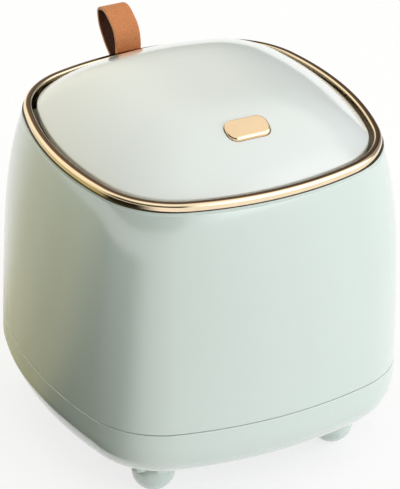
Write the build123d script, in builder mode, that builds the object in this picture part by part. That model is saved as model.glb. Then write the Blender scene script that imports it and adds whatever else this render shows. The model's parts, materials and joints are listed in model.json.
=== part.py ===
from build123d import *
import os
from math import atan2, cos, degrees, radians, sqrt

# A push-top countertop bin. Millimetres, +Z up, front towards -Y.
# The origin lies on the countertop, under the middle of the square body.

# ------------------------------------------------------------------ body outline
body_half_width = 90.0
body_side_radius = 222.0      # the four sides bow outwards
body_corner_radius = 43.0
mouth_inset = 9.9             # how far the body has narrowed at the trim ring's top
mouth_side_radius = 157.0
mouth_corner_radius = 44.0
taper_start_z = 46.0          # the body is straight below this height
taper_power = 4.2             # how late the shoulder turns inwards
shell_levels = 9

# ------------------------------------------------------------------ heights
underside_z = 17.5            # flat underside of the base pan
pan_height = 31.0
shell_height = 115.1
flange_thickness = 1.4
ring_height = 4.0
seam_z = underside_z + pan_height
shell_top_z = seam_z + shell_height
ring_bottom_z = shell_top_z + flange_thickness
ring_top_z = ring_bottom_z + ring_height

# ------------------------------------------------------------------ walls and fits
shell_wall = 2.0
pan_wall = 2.2
pan_floor = 2.5
bottom_round = 22.0
seam_gap = 0.4                # shadow line between the shell and the base pan
slide_clearance = 0.3         # between pieces that move past each other
assembly_clearance = 0.15     # between pieces that are fitted together once
running_clearance = 0.05      # round a pin or a screw's shank
rib_root = 0.5                # how far ribs and posts sink into their plate

# ------------------------------------------------------------------ base pan
spigot_height = 3.5
spigot_wall = 1.6
spigot_root = 6.0
tab_gap = 0.5                 # from the spigot's top to the shell's screw tabs
rest_rib_height = 3.0
rest_rib_width = 3.0
rest_rib_margin = 1.5         # inside the flat part of the bucket's bottom

# ------------------------------------------------------------------ feet
foot_radius = 11.0
foot_centre_z = 10.4
foot_inset_x = 40.0           # from the body's sides to the feet's centres
foot_inset_y = 37.0
foot_screw_depth = 9.0

# ------------------------------------------------------------------ screws
screw_radius = 1.4
screw_head_radius = 2.8
screw_head_height = 1.6
small_screw_radius = 1.0
small_head_radius = 2.0
small_head_height = 1.2
socket_share = 0.4            # driver socket, as a share of the head's radius
screw_tip_room = 1.0          # left in the hole below a screw's tip
base_screw_inset = 13.9       # from the body's corners, along the diagonals
base_screw_depth = 10.0
boss_radius = 4.2
tab_thickness = 4.0

# ------------------------------------------------------------------ trim ring
ring_proud = 0.9              # past the mouth line
ring_width = 4.0
ring_leg_width = 0.9
ring_outer_round = 2.0
ring_inner_round = 1.1

# ------------------------------------------------------------------ mouth frame
frame_clearance = 0.7         # between the frame's skirt and the shell's mouth
frame_skirt_wall = 2.0
frame_skirt_depth = 15.6
ledge_width = 9.0
ledge_thickness = 2.2
catch_half_width = 9.0        # tongue of the ledge that the latch hooks on
catch_reach = 6.5             # past the ledge's edge
shelf_thickness = 2.0
shelf_reach = 11.6            # in front of the hinge pin
flange_inset = 0.2

# ------------------------------------------------------------------ lid
lid_gap = 2.4                 # between the lid and the ring
lid_edge_drop = 1.0           # from the ring's top to the dome's edge
lid_edge_height = 3.5
lid_wall = 2.0
dome_height = 23.3
dome_power = 3.1
dome_skin = 2.2
dome_levels = 9
dome_flat_share = 0.1         # flat spot at the apex, as a share of the lid
dome_crowding = 1.2           # draws the levels together near the edge
liner_thickness = 1.8
liner_clearance = 0.2
lid_screw_inset_x = 29.6      # from the lid's edges
lid_screw_inset_front = 50.6
lid_screw_inset_rear = 38.6
lid_boss_radius = 3.4
lid_screw_length = 8.0

# ------------------------------------------------------------------ hinge
hinge_inset = 13.0            # from the lid's rear edge to the pin
hinge_drop = 1.5              # from the dome's edge to the pin
pin_radius = 1.5
knuckle_radius = 4.0
ear_x = 26.0
ear_width = 6.0
lug_width = 6.0
pin_overhang = 1.0
hinge_spring_turns = 6
hinge_leg_turn = 0.25         # the two legs stand this part of a turn apart
hinge_spring_pitch = 1.1
hinge_spring_radius = 2.5
hinge_wire_radius = 0.4
hinge_spring_x = 10.0
hinge_leg_length = 11.0

# ------------------------------------------------------------------ button
button_length = 22.5
button_width = 11.4
button_corner_radius = 4.8
button_inset = 27.6           # from the lid's front edge to the button's centre
button_proud = 1.6
button_round = 0.9
button_travel = 3.0
button_clearance = 0.25
button_flange_margin = 1.5
button_flange_height = 1.7
collar_wall = 1.5
collar_depth = 13.3           # from the dome's apex to the collar's lower edge
stem_radius = 2.5
guide_wall = 1.2
guide_height = 4.6
stem_engagement = 3.0
button_wire_radius = 0.35
button_spring_turns = 4

# ------------------------------------------------------------------ latch slide
slide_half_width = 11.0
slide_thickness = 2.4
slide_lift = 0.2              # above the liner
window_half_width = 8.3
leg_inner_x = 6.0
leg_outer_x = 8.0
leg_front_offset = 0.8        # from the button's centre to the legs' front faces
leg_tip_length = 2.0
wedge_gap = 0.4
ramp_height = 7.0
cross_bar_width = 2.9
hook_half_width = 5.0
hook_leg = 2.5
hook_toe_height = 1.8
hook_toe_length = 2.2
hook_under_gap = 0.4
hook_short = 0.6              # from the hook's tip to the catch's edge
rail_width = 2.0
rail_lip = 1.0
latch_spring_length = 10.0
latch_spring_radius = 2.0
latch_wire_radius = 0.25
latch_spring_turns = 6
latch_post_half_width = 4.0
latch_post_thickness = 2.0

# ------------------------------------------------------------------ inner bucket
bucket_side_gap = 7.6          # from the mouth line to the bucket's rim
bucket_wall = 1.6
bucket_rim_width = 2.0
bucket_rim_height = 2.6
bucket_headroom = 2.0         # from the bucket's rim to the frame's shelf
bucket_draft = 10.0           # how much narrower the bottom is, on each side
bucket_bottom_round = 7.0

# ------------------------------------------------------------------ carrying strap
strap_width = 14.0
strap_thickness = 1.6
strap_gap = 0.05              # between the two plies where they are clamped
strap_bend = 3.0
slot_clearance = 0.6
slot_drop = 7.6               # from the shell's top to the notch's lower edge
strap_tail = 24.5             # below the ring's bottom
notch_reach = 6.0             # each way from the shell's upper edge
anchor_tab_thickness = 1.5
anchor_tab_half_width = 12.0
clamp_thickness = 1.0
clamp_height = 9.0
clamp_edge = 1.5
strap_screw_x = 3.6
front_turn_drop = 7.2         # where the front ply leaves the clamp's plane, below the ring
front_turn_height = 4.6
back_turn_drop = 9.2          # where the rear ply joins it again
back_turn_height = 6.2
back_turn_reach = 5.4
loop_reach = 21.4             # behind the front ply
loop_height = 15.6            # above the ring
loop_shape = [                # leaf-shaped, as shares of its reach and height
    (0.15, 0.62), (0.35, 0.82), (0.73, 1.0), (1.0, 0.85), (0.97, 0.50), (0.67, -0.04),
]


# ------------------------------------------------------------------ shared shapes
def corner_centre_of(half_width, side_radius, corner_radius):
    """Distance of a corner arc's centre from both axes, so that it meets the side arcs smoothly."""
    side_centre = half_width - side_radius
    return (side_centre + sqrt(2 * (side_radius - corner_radius) ** 2 - side_centre**2)) / 2


def corner_reach_of(half_width, side_radius, corner_radius):
    """Distance from the axis to the outline along a diagonal."""
    return corner_centre_of(half_width, side_radius, corner_radius) * sqrt(2) + corner_radius


class RoundedSquare(BaseSketchObject):
    """A square with bowed sides and round corners, all meeting smoothly."""

    def __init__(self, half_width, side_radius, corner_radius, mode=Mode.ADD):
        side_centre = half_width - side_radius
        corner_centre = corner_centre_of(half_width, side_radius, corner_radius)
        turn = degrees(atan2(corner_centre, corner_centre - side_centre))
        with BuildSketch() as square:
            with BuildLine():
                for quarter in range(4):
                    start = 90 * quarter
                    side_point = Vector(side_centre, 0).rotate(Axis.Z, start)
                    corner_point = Vector(corner_centre, corner_centre).rotate(Axis.Z, start)
                    CenterArc(side_point, side_radius, start - turn, 2 * turn)
                    CenterArc(corner_point, corner_radius, start + turn, 90 - 2 * turn)
            make_face()
        super().__init__(square.sketch, mode=mode)


def body_section(z, inset=0.0):
    """The body's outline at a height: half-width, side radius and corner radius."""
    rise = max(0.0, (z - taper_start_z) / (ring_top_z - taper_start_z))
    blend = (z - underside_z) / (ring_top_z - underside_z)
    half_width = body_half_width - mouth_inset * rise**taper_power
    side_radius = body_side_radius + (mouth_side_radius - body_side_radius) * blend
    corner_radius = body_corner_radius + (mouth_corner_radius - body_corner_radius) * blend
    return half_width - inset, side_radius - inset, corner_radius - inset


def mouth_section(inset=0.0):
    """The mouth line, at the ring's top, drawn in by an inset."""
    return body_section(ring_top_z, inset)


class Band(BasePartObject):
    """A ring-shaped wall between two outlines."""

    def __init__(self, outer, inner, bottom_z, top_z, mode=Mode.ADD):
        with BuildPart() as wall:
            with BuildSketch(Plane.XY.offset(bottom_z)):
                RoundedSquare(*outer)
                RoundedSquare(*inner, mode=Mode.SUBTRACT)
            extrude(amount=top_z - bottom_z)
        super().__init__(wall.part, mode=mode)


class Slab(BasePartObject):
    """A flat plate with a rounded-square outline."""

    def __init__(self, section, bottom_z, top_z, mode=Mode.ADD):
        with BuildPart() as plate:
            with BuildSketch(Plane.XY.offset(bottom_z)):
                RoundedSquare(*section)
            extrude(amount=top_z - bottom_z)
        super().__init__(plate.part, mode=mode)


class SideProfile(BasePartObject):
    """An outline of (y, z) points extruded along X."""

    def __init__(self, points, x_low, x_high, mode=Mode.ADD):
        with BuildPart() as bar:
            with BuildSketch(Plane.YZ.offset(x_low)):
                with BuildLine():
                    Polyline(*points, close=True)
                make_face()
            extrude(amount=x_high - x_low)
        super().__init__(bar.part, mode=mode)


def block(x, y, z, mode=Mode.ADD):
    """Add or cut a box given as its low and high sides along each axis."""
    middle = ((x[0] + x[1]) / 2, (y[0] + y[1]) / 2, (z[0] + z[1]) / 2)
    with Locations(middle):
        Box(x[1] - x[0], y[1] - y[0], z[1] - z[0], mode=mode)


def round_post(x, y, radius, bottom_z, top_z, mode=Mode.ADD):
    """Add or cut an upright cylinder."""
    with Locations((x, y, (bottom_z + top_z) / 2)):
        Cylinder(radius, top_z - bottom_z, mode=mode)


def cross_bar(y, z, radius, x_low, x_high, mode=Mode.ADD):
    """Add or cut a cylinder along X."""
    with Locations(Location(((x_low + x_high) / 2, y, z), (0, 90, 0))):
        Cylinder(radius, x_high - x_low, mode=mode)


def screw_group(planes, radius, length, head_radius, head_height):
    """Pan-head screws: each plane lies under a head, with its Z axis out of the head."""
    with BuildPart() as screws:
        for plane in planes:
            with BuildSketch(plane.offset(-length)):
                Circle(radius)
            extrude(amount=length)
            with BuildSketch(plane):
                Circle(head_radius)
            extrude(amount=head_height)
            with BuildSketch(plane.offset(head_height)):
                RegularPolygon(head_radius * socket_share, 6)
            extrude(amount=-head_height / 2, mode=Mode.SUBTRACT)
    return screws.part


def finish(part, name):
    """Label a piece and write its file."""
    part.label = name
    export_step(part, f"parts/{name}.step")


os.makedirs("parts", exist_ok=True)
corners = [(sx, sy) for sx in (-1, 1) for sy in (-1, 1)]
foot_x = body_half_width - foot_inset_x
foot_y = body_half_width - foot_inset_y

# ------------------------------------------------------------------ base pan
floor_z = underside_z + pan_floor
spigot_top_z = seam_z + spigot_height
tab_bottom_z = spigot_top_z + tab_gap
spigot_inset = shell_wall + assembly_clearance
pan_top_z = seam_z - seam_gap
base_screw_reach = corner_reach_of(*body_section(seam_z)) - base_screw_inset
boss_x = base_screw_reach * cos(radians(45))
screw_hole = screw_radius + running_clearance
small_screw_hole = small_screw_radius + running_clearance
bucket_bottom_z = floor_z + rest_rib_height
bucket_top_inset = bucket_side_gap + bucket_rim_width
bucket_bottom_inset = bucket_top_inset + bucket_draft
rib_inset = bucket_bottom_inset + bucket_bottom_round + rest_rib_margin

with BuildPart() as pan_cavity:
    Slab(body_section(seam_z, pan_wall), floor_z, tab_bottom_z)
    fillet(pan_cavity.edges().group_by(Axis.Z)[0], bottom_round - pan_wall)
    with BuildSketch(Plane.XY.offset(floor_z)):
        with PolarLocations(base_screw_reach, 4, start_angle=45):
            Circle(boss_radius)
    extrude(amount=tab_bottom_z - floor_z, mode=Mode.SUBTRACT)
    Slab(mouth_section(rib_inset), floor_z, bucket_bottom_z, mode=Mode.SUBTRACT)
    Slab(mouth_section(rib_inset + rest_rib_width), floor_z, bucket_bottom_z)

with BuildPart() as base_pan:
    Slab(body_section(seam_z), underside_z, pan_top_z)
    fillet(base_pan.edges().group_by(Axis.Z)[0], bottom_round)
    add(pan_cavity.part, mode=Mode.SUBTRACT)
    spigot_inner = body_section(seam_z, spigot_inset + spigot_wall)
    Band(body_section(seam_z, pan_wall / 2), spigot_inner, seam_z - spigot_root, pan_top_z)
    Band(body_section(seam_z, spigot_inset), spigot_inner, seam_z - spigot_root, spigot_top_z)
    for sx, sy in corners:
        hole_bottom = tab_bottom_z - base_screw_depth
        round_post(sx * boss_x, sy * boss_x, boss_radius, pan_top_z - spigot_root, tab_bottom_z)
        round_post(sx * boss_x, sy * boss_x, screw_hole, hole_bottom, tab_bottom_z, Mode.SUBTRACT)
        round_post(sx * foot_x, sy * foot_y, screw_hole, underside_z, floor_z, Mode.SUBTRACT)
finish(base_pan.part, "base_pan")

# ------------------------------------------------------------------ outer shell
level_heights = [seam_z + shell_height * (i / (shell_levels - 1)) for i in range(shell_levels)]
strap_y = body_section(shell_top_z)[0]
tab_end = corner_reach_of(*body_section(seam_z, shell_wall / 2))
notch_half_width = strap_width / 2 + slot_clearance

with BuildPart() as outer_shell:
    for z in level_heights:
        with BuildSketch(Plane.XY.offset(z)):
            RoundedSquare(*body_section(z))
    loft()
    for z in level_heights:
        with BuildSketch(Plane.XY.offset(z)):
            RoundedSquare(*body_section(z, shell_wall))
    loft(mode=Mode.SUBTRACT)
    with BuildSketch(Plane.XY.offset(tab_bottom_z)):
        with PolarLocations(base_screw_reach, 4, start_angle=45):
            Circle(boss_radius)
        with PolarLocations((base_screw_reach + tab_end) / 2, 4, start_angle=45):
            Rectangle(tab_end - base_screw_reach, 2 * boss_radius)
        with PolarLocations(base_screw_reach, 4, start_angle=45):
            Circle(screw_hole, mode=Mode.SUBTRACT)
    extrude(amount=tab_thickness)
    notch_y = (strap_y - notch_reach, strap_y + notch_reach)
    notch_z = (shell_top_z - slot_drop, shell_top_z)
    block((-notch_half_width, notch_half_width), notch_y, notch_z, Mode.SUBTRACT)
finish(outer_shell.part, "outer_shell")

# ------------------------------------------------------------------ feet
foot_names = {(-1, -1): "foot_front_left", (1, -1): "foot_front_right",
              (-1, 1): "foot_rear_left", (1, 1): "foot_rear_right"}
for sx, sy in corners:
    upright = Plane(origin=(sx * foot_x, sy * foot_y, 0), x_dir=(1, 0, 0), z_dir=(0, -1, 0))
    with BuildPart() as foot:
        with BuildSketch(upright):
            with Locations((0, foot_centre_z)):
                Circle(foot_radius)
            with Locations((foot_radius / 2, underside_z / 2)):
                Rectangle(foot_radius, underside_z, mode=Mode.INTERSECT)
        revolve(axis=Axis((sx * foot_x, sy * foot_y, 0), (0, 0, 1)))
        hole_bottom = underside_z - foot_screw_depth
        round_post(sx * foot_x, sy * foot_y, screw_hole, hole_bottom, underside_z, Mode.SUBTRACT)
    finish(foot.part, foot_names[(sx, sy)])

# ------------------------------------------------------------------ screws in the base
foot_planes = [Plane.XY.offset(floor_z).move(Location((sx * foot_x, sy * foot_y, 0))) for sx, sy in corners]
foot_length = pan_floor + foot_screw_depth - screw_tip_room
base_heads = (screw_head_radius, screw_head_height)
finish(screw_group(foot_planes, screw_radius, foot_length, *base_heads), "foot_screws")
tab_top_z = tab_bottom_z + tab_thickness
base_planes = [Plane.XY.offset(tab_top_z).move(Location((sx * boss_x, sy * boss_x, 0))) for sx, sy in corners]
base_length = tab_thickness + base_screw_depth - screw_tip_room
finish(screw_group(base_planes, screw_radius, base_length, *base_heads), "base_screws")

# ------------------------------------------------------------------ lid and hinge places
ring_inner_inset = ring_width - ring_proud
lid_inset = ring_inner_inset + lid_gap
lid_half_width = mouth_section(lid_inset)[0]
lid_edge_z = ring_top_z - lid_edge_drop
lid_bottom_z = lid_edge_z - lid_edge_height
pin_y = lid_half_width - hinge_inset
shelf_front_y = pin_y - shelf_reach
button_y = button_inset - lid_half_width
pin_z = lid_edge_z - hinge_drop
ledge_top_z = lid_bottom_z - slide_clearance
ledge_bottom_z = ledge_top_z - ledge_thickness
window_half_x = ear_x + ear_width / 2 + 2 * slide_clearance
lug_outer_x = window_half_x + lug_width
pin_half_length = lug_outer_x + pin_overhang
bore_half_length = pin_half_length + slide_clearance
pin_hole = pin_radius + running_clearance

# ------------------------------------------------------------------ trim ring
leg_outer_inset = ring_inner_inset - ring_leg_width
leg_bottom_z = ledge_top_z + assembly_clearance
with BuildPart() as trim_ring:
    Slab(mouth_section(-ring_proud), ring_bottom_z, ring_top_z)
    fillet(trim_ring.edges().group_by(Axis.Z)[-1], ring_outer_round)
    Slab(mouth_section(ring_inner_inset), ring_bottom_z, ring_top_z, mode=Mode.SUBTRACT)
    ring_crest = trim_ring.faces().sort_by(Axis.Z)[-1]
    fillet(ring_crest.inner_wires()[0].edges(), ring_inner_round)
    Band(mouth_section(leg_outer_inset), mouth_section(ring_inner_inset), leg_bottom_z, ring_bottom_z)
finish(trim_ring.part, "trim_ring")

# ------------------------------------------------------------------ mouth frame
skirt_inset = shell_wall + frame_clearance
skirt_outer = body_section(shell_top_z, skirt_inset)
skirt_middle = body_section(shell_top_z, skirt_inset + frame_skirt_wall / 2)
skirt_inner = body_section(shell_top_z, skirt_inset + frame_skirt_wall)
ledge_inner = body_section(shell_top_z, skirt_inset + frame_skirt_wall + ledge_width)
catch_edge_y = catch_reach - ledge_inner[0]
skirt_bottom_z = shell_top_z - frame_skirt_depth
shelf_top_z = skirt_bottom_z + shelf_thickness
rebate = mouth_section(leg_outer_inset - assembly_clearance)
front_ply_y = skirt_outer[0] - flange_inset - 2 * strap_thickness - strap_gap
tail_bottom_z = ring_bottom_z - strap_tail
anchor_bottom_z = tail_bottom_z - clamp_edge
clamp_y = front_ply_y + 2 * strap_thickness + strap_gap
strap_screw_z = tail_bottom_z + clamp_edge + clamp_height / 2
ear_points = [
    (pin_y - 2.1 * knuckle_radius, skirt_bottom_z + shelf_thickness / 2),
    (pin_y - 0.5 * knuckle_radius, skirt_bottom_z + shelf_thickness / 2),
    (pin_y - 0.4 * knuckle_radius, pin_z - 1.25 * knuckle_radius),
    (pin_y, pin_z - 0.95 * knuckle_radius),
    (pin_y, pin_z),
    (pin_y - 0.95 * knuckle_radius, pin_z),
    (pin_y - 1.8 * knuckle_radius, pin_z - 2 * knuckle_radius),
]

full_width = (-body_half_width, body_half_width)
with BuildPart() as rear_shelf:
    Slab(skirt_outer, skirt_bottom_z, shelf_top_z)
    block(full_width, (-body_half_width, shelf_front_y), (0, shelf_top_z), Mode.SUBTRACT)

with BuildPart() as lid_ledge:
    Band(skirt_middle, ledge_inner, ledge_bottom_z, ledge_top_z)
    block(full_width, (shelf_front_y, body_half_width), (0, ledge_top_z), Mode.SUBTRACT)
    catch_x = (-catch_half_width, catch_half_width)
    block(catch_x, (-skirt_middle[0], catch_edge_y), (ledge_bottom_z, ledge_top_z))

with BuildPart() as mouth_frame:
    Band(body_section(shell_top_z, flange_inset), rebate, shell_top_z, ring_bottom_z)
    Band(skirt_outer, skirt_inner, skirt_bottom_z, ledge_top_z)
    add(rear_shelf.part)
    add(lid_ledge.part)
    tab_y = (front_ply_y - anchor_tab_thickness, front_ply_y)
    block((-anchor_tab_half_width, anchor_tab_half_width), tab_y, (anchor_bottom_z, shelf_top_z))
    window_y = (front_ply_y, body_half_width)
    window_z = (anchor_bottom_z, shell_top_z)
    block((-notch_half_width, notch_half_width), window_y, window_z, Mode.SUBTRACT)
    for side in (-1, 1):
        ear_low = side * ear_x - ear_width / 2
        SideProfile(ear_points, ear_low, ear_low + ear_width)
        cross_bar(pin_y, pin_z, knuckle_radius, ear_low, ear_low + ear_width)
    cross_bar(pin_y, pin_z, pin_hole, -bore_half_length, bore_half_length, Mode.SUBTRACT)
    with Locations(Plane(origin=(0, front_ply_y, strap_screw_z), x_dir=(1, 0, 0), z_dir=(0, -1, 0))):
        with Locations((-strap_screw_x, 0), (strap_screw_x, 0)):
            Hole(small_screw_hole, depth=2 * anchor_tab_thickness)
finish(mouth_frame.part, "mouth_frame")

# ------------------------------------------------------------------ hinge pin and springs
with BuildPart() as hinge_pin:
    cross_bar(pin_y, pin_z, pin_radius, -pin_half_length, pin_half_length)
    chamfer(hinge_pin.edges().filter_by(GeomType.CIRCLE), pin_radius / 4)
finish(hinge_pin.part, "hinge_pin")

spring_span = (hinge_spring_turns - hinge_leg_turn) * hinge_spring_pitch
frame_leg_length = pin_z - shelf_top_z - hinge_wire_radius
spring_starts = {"hinge_spring_left": -hinge_spring_x, "hinge_spring_right": hinge_spring_x + spring_span}
for name, start_x in spring_starts.items():
    with BuildPart() as hinge_spring:
        with BuildLine() as wire:
            coil = Helix(hinge_spring_pitch, spring_span, hinge_spring_radius, center=(start_x, pin_y, pin_z),
                         direction=(-1, 0, 0), mode=Mode.PRIVATE)
            coil = coil.rotate(Axis((0, pin_y, pin_z), (1, 0, 0)), -90)
            add(coil)
            frame_leg = Line(coil @ 0 - (coil % 0) * frame_leg_length, coil @ 0)
            Line(coil @ 1, coil @ 1 + (coil % 1) * hinge_leg_length)
        with BuildSketch(Plane(origin=frame_leg @ 0, z_dir=frame_leg % 0)):
            Circle(hinge_wire_radius)
        sweep(path=wire.wire())
    finish(hinge_spring.part, name)

# ------------------------------------------------------------------ lid cover
liner_bottom_z = lid_bottom_z + liner_clearance / 2
liner_top_z = liner_bottom_z + liner_thickness
apex_z = lid_edge_z + dome_height
collar_bottom_z = apex_z - collar_depth
dome_steps = [(i / (dome_levels - 1)) ** dome_crowding for i in range(dome_levels)]
dome_shares = [1 - (1 - dome_flat_share) * step for step in dome_steps]
lid_screw_x = lid_half_width - lid_screw_inset_x
lid_screw_rows = (lid_screw_inset_front - lid_half_width, lid_half_width - lid_screw_inset_rear)
lid_screws_at = [(sx * lid_screw_x, y) for sx in (-1, 1) for y in lid_screw_rows]


class Dome(BasePartObject):
    """The lid's domed body from a given height upwards, drawn in by a wall and lowered by a skin."""

    def __init__(self, bottom_z, wall=0.0, skin=0.0, raised=0.0, mode=Mode.ADD):
        edge = mouth_section(lid_inset + wall)
        with BuildPart() as dome:
            Slab(edge, bottom_z, lid_edge_z + raised)
            for share in dome_shares:
                level = lid_edge_z + raised + (dome_height - skin) * (1 - share**dome_power)
                with BuildSketch(Plane.XY.offset(level)):
                    RoundedSquare(*[size * share for size in edge])
            loft()
        super().__init__(dome.part, mode=mode)


class ButtonPrism(BasePartObject):
    """The button's outline, grown by a margin, between two heights."""

    def __init__(self, margin, bottom_z, top_z, mode=Mode.ADD):
        with BuildPart() as prism:
            with BuildSketch(Plane.XY.offset(bottom_z)):
                with Locations((0, button_y)):
                    length = button_length + 2 * margin
                    width = button_width + 2 * margin
                    RectangleRounded(length, width, button_corner_radius + margin)
            extrude(amount=top_z - bottom_z)
        super().__init__(prism.part, mode=mode)


with BuildPart() as lid_cavity:
    Dome(lid_bottom_z, lid_wall, dome_skin)
    for x, y in lid_screws_at:
        round_post(x, y, lid_boss_radius, liner_top_z, apex_z, Mode.SUBTRACT)
    ButtonPrism(button_clearance + collar_wall, collar_bottom_z, apex_z, mode=Mode.SUBTRACT)

with BuildPart() as lid_cover:
    Dome(lid_bottom_z)
    add(lid_cavity.part, mode=Mode.SUBTRACT)
    ButtonPrism(button_clearance, liner_top_z, apex_z, mode=Mode.SUBTRACT)
    for x, y in lid_screws_at:
        round_post(x, y, small_screw_hole, liner_top_z, liner_top_z + lid_screw_length, Mode.SUBTRACT)
finish(lid_cover.part, "lid_cover")

# ------------------------------------------------------------------ push button
flange_top_z = collar_bottom_z - slide_clearance
flange_bottom_z = flange_top_z - button_flange_height
guide_top_z = liner_top_z + guide_height
stem_bottom_z = guide_top_z - stem_engagement
tip_z = liner_top_z + button_travel + slide_clearance
leg_front_y = button_y + leg_front_offset
tip_rear_y = leg_front_y + leg_tip_length
leg_rear_y = button_y + button_width / 2 + button_flange_margin
leg_points = [
    (leg_front_y, flange_bottom_z + button_flange_height / 2),
    (leg_front_y, tip_z),
    (tip_rear_y, tip_z),
    (leg_rear_y, tip_z + leg_rear_y - tip_rear_y),
    (leg_rear_y, flange_bottom_z + button_flange_height / 2),
]
with BuildPart() as push_button:
    ButtonPrism(0, flange_top_z, apex_z + button_proud)
    Dome(lid_bottom_z, raised=button_proud, mode=Mode.INTERSECT)
    top_face = push_button.faces().sort_by(Axis.Z)[-1]
    fillet(top_face.edges(), button_round)
    ButtonPrism(button_flange_margin, flange_bottom_z, flange_top_z)
    round_post(0, button_y, stem_radius, stem_bottom_z, flange_bottom_z)
    for side in (-1, 1):
        leg_low = min(side * leg_inner_x, side * leg_outer_x)
        SideProfile(leg_points, leg_low, leg_low + leg_outer_x - leg_inner_x)
finish(push_button.part, "push_button")


# ------------------------------------------------------------------ compression springs
def coil_spring(base, direction, length, radius, wire_radius, turns):
    """A round-wire coil between two seats."""
    height = length - 2 * wire_radius
    start = Vector(base) + Vector(direction) * wire_radius
    with BuildPart() as spring:
        with BuildLine() as wire:
            coil = Helix(height / turns, height, radius, center=start, direction=direction)
        with BuildSketch(Plane(origin=coil @ 0, z_dir=coil % 0)):
            Circle(wire_radius)
        sweep(path=wire.wire())
    return spring.part


guide_outer_radius = stem_radius + running_clearance + guide_wall
button_spring_radius = guide_outer_radius + slide_clearance + button_wire_radius
spring_length = flange_bottom_z - liner_top_z
button_spring = coil_spring((0, button_y, liner_top_z), (0, 0, 1), spring_length, button_spring_radius,
                            button_wire_radius, button_spring_turns)
finish(button_spring, "button_spring")

# ------------------------------------------------------------------ latch slide
slide_bottom_z = liner_top_z + slide_lift
slide_top_z = slide_bottom_z + slide_thickness
ramp_start_y = tip_rear_y - (tip_z - wedge_gap - slide_bottom_z)
ramp_end_y = ramp_start_y + ramp_height
bar_rear_y = ramp_end_y + cross_bar_width
spring_room = button_spring_radius + button_wire_radius + slide_clearance
window_front_y = button_y - spring_room - button_travel
hook_tip_y = catch_edge_y + hook_short
hook_front_y = hook_tip_y + hook_toe_length
hook_rear_y = hook_front_y + hook_leg
toe_top_z = ledge_bottom_z - hook_under_gap
toe_bottom_z = toe_top_z - hook_toe_height
plate_front_y = window_front_y - hook_leg
raised_half_x = slide_half_width - rail_lip - slide_clearance
ramp_points = [
    (ramp_start_y, slide_bottom_z),
    (bar_rear_y, slide_bottom_z),
    (bar_rear_y, slide_bottom_z + ramp_height),
    (ramp_end_y, slide_bottom_z + ramp_height),
]
slide_z = (slide_bottom_z, slide_top_z)
with BuildPart() as latch_slide:
    block((-slide_half_width, slide_half_width), (plate_front_y, ramp_start_y + wedge_gap), slide_z)
    window_y = (window_front_y, ramp_start_y + wedge_gap)
    block((-window_half_width, window_half_width), window_y, slide_z, Mode.SUBTRACT)
    for side in (-1, 1):
        rail_low = min(side * window_half_width, side * slide_half_width)
        strip_x = (rail_low, rail_low + slide_half_width - window_half_width)
        block(strip_x, (ramp_start_y, bar_rear_y), slide_z)
    SideProfile(ramp_points, -raised_half_x, raised_half_x)
    room_y = (ramp_start_y - wedge_gap, button_y + spring_room)
    room_z = (slide_bottom_z, slide_bottom_z + ramp_height)
    block((-spring_room, spring_room), room_y, room_z, Mode.SUBTRACT)
    block((-hook_half_width, hook_half_width), (hook_front_y, plate_front_y + hook_leg / 2), slide_z)
    block((-hook_half_width, hook_half_width), (hook_front_y, hook_rear_y), (toe_bottom_z, slide_top_z))
    block((-hook_half_width, hook_half_width), (hook_tip_y, hook_rear_y), (toe_bottom_z, toe_top_z))
finish(latch_slide.part, "latch_slide")

latch_spring_z = slide_bottom_z + ramp_height / 2
latch_spring = coil_spring((0, bar_rear_y, latch_spring_z), (0, 1, 0), latch_spring_length,
                           latch_spring_radius, latch_wire_radius, latch_spring_turns)
finish(latch_spring, "latch_spring")

# ------------------------------------------------------------------ lid liner
rail_inner_x = slide_half_width + slide_clearance
rail_outer_x = rail_inner_x + rail_width
lip_bottom_z = slide_top_z + slide_clearance
rail_top_z = lip_bottom_z + rail_lip
rail_y = (plate_front_y, bar_rear_y + button_travel)
post_y = bar_rear_y + latch_spring_length
hinge_room = knuckle_radius + 4 * slide_clearance
root_z = liner_top_z - rib_root
with BuildPart() as lid_liner:
    Slab(mouth_section(lid_inset + lid_wall + liner_clearance), liner_bottom_z, liner_top_z)
    hinge_window_y = (pin_y - hinge_room, pin_y + hinge_room)
    block((-window_half_x, window_half_x), hinge_window_y, (liner_bottom_z, liner_top_z), Mode.SUBTRACT)
    slot_y = (hook_front_y - slide_clearance, hook_rear_y + button_travel + slide_clearance)
    slot_half_x = hook_half_width + slide_clearance
    block((-slot_half_x, slot_half_x), slot_y, (liner_bottom_z, liner_top_z), Mode.SUBTRACT)
    for side in (-1, 1):
        lug_low = min(side * window_half_x, side * lug_outer_x)
        cross_bar(pin_y, pin_z, knuckle_radius, lug_low, lug_low + lug_width)
        rail_low = min(side * rail_inner_x, side * rail_outer_x)
        block((rail_low, rail_low + rail_width), rail_y, (root_z, rail_top_z))
        lip_inner_x = slide_half_width - rail_lip
        lip_low = min(side * lip_inner_x, side * rail_outer_x)
        block((lip_low, lip_low + rail_outer_x - lip_inner_x), rail_y, (lip_bottom_z, rail_top_z))
    post_x = (-latch_post_half_width, latch_post_half_width)
    post_top_z = slide_bottom_z + ramp_height
    block(post_x, (post_y, post_y + latch_post_thickness), (root_z, post_top_z))
    round_post(0, button_y, guide_outer_radius, root_z, guide_top_z)
    round_post(0, button_y, stem_radius + running_clearance, liner_bottom_z, guide_top_z, Mode.SUBTRACT)
    for x, y in lid_screws_at:
        round_post(x, y, small_screw_hole, liner_bottom_z, liner_top_z, Mode.SUBTRACT)
    cross_bar(pin_y, pin_z, pin_hole, -bore_half_length, bore_half_length, Mode.SUBTRACT)
finish(lid_liner.part, "lid_liner")

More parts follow.
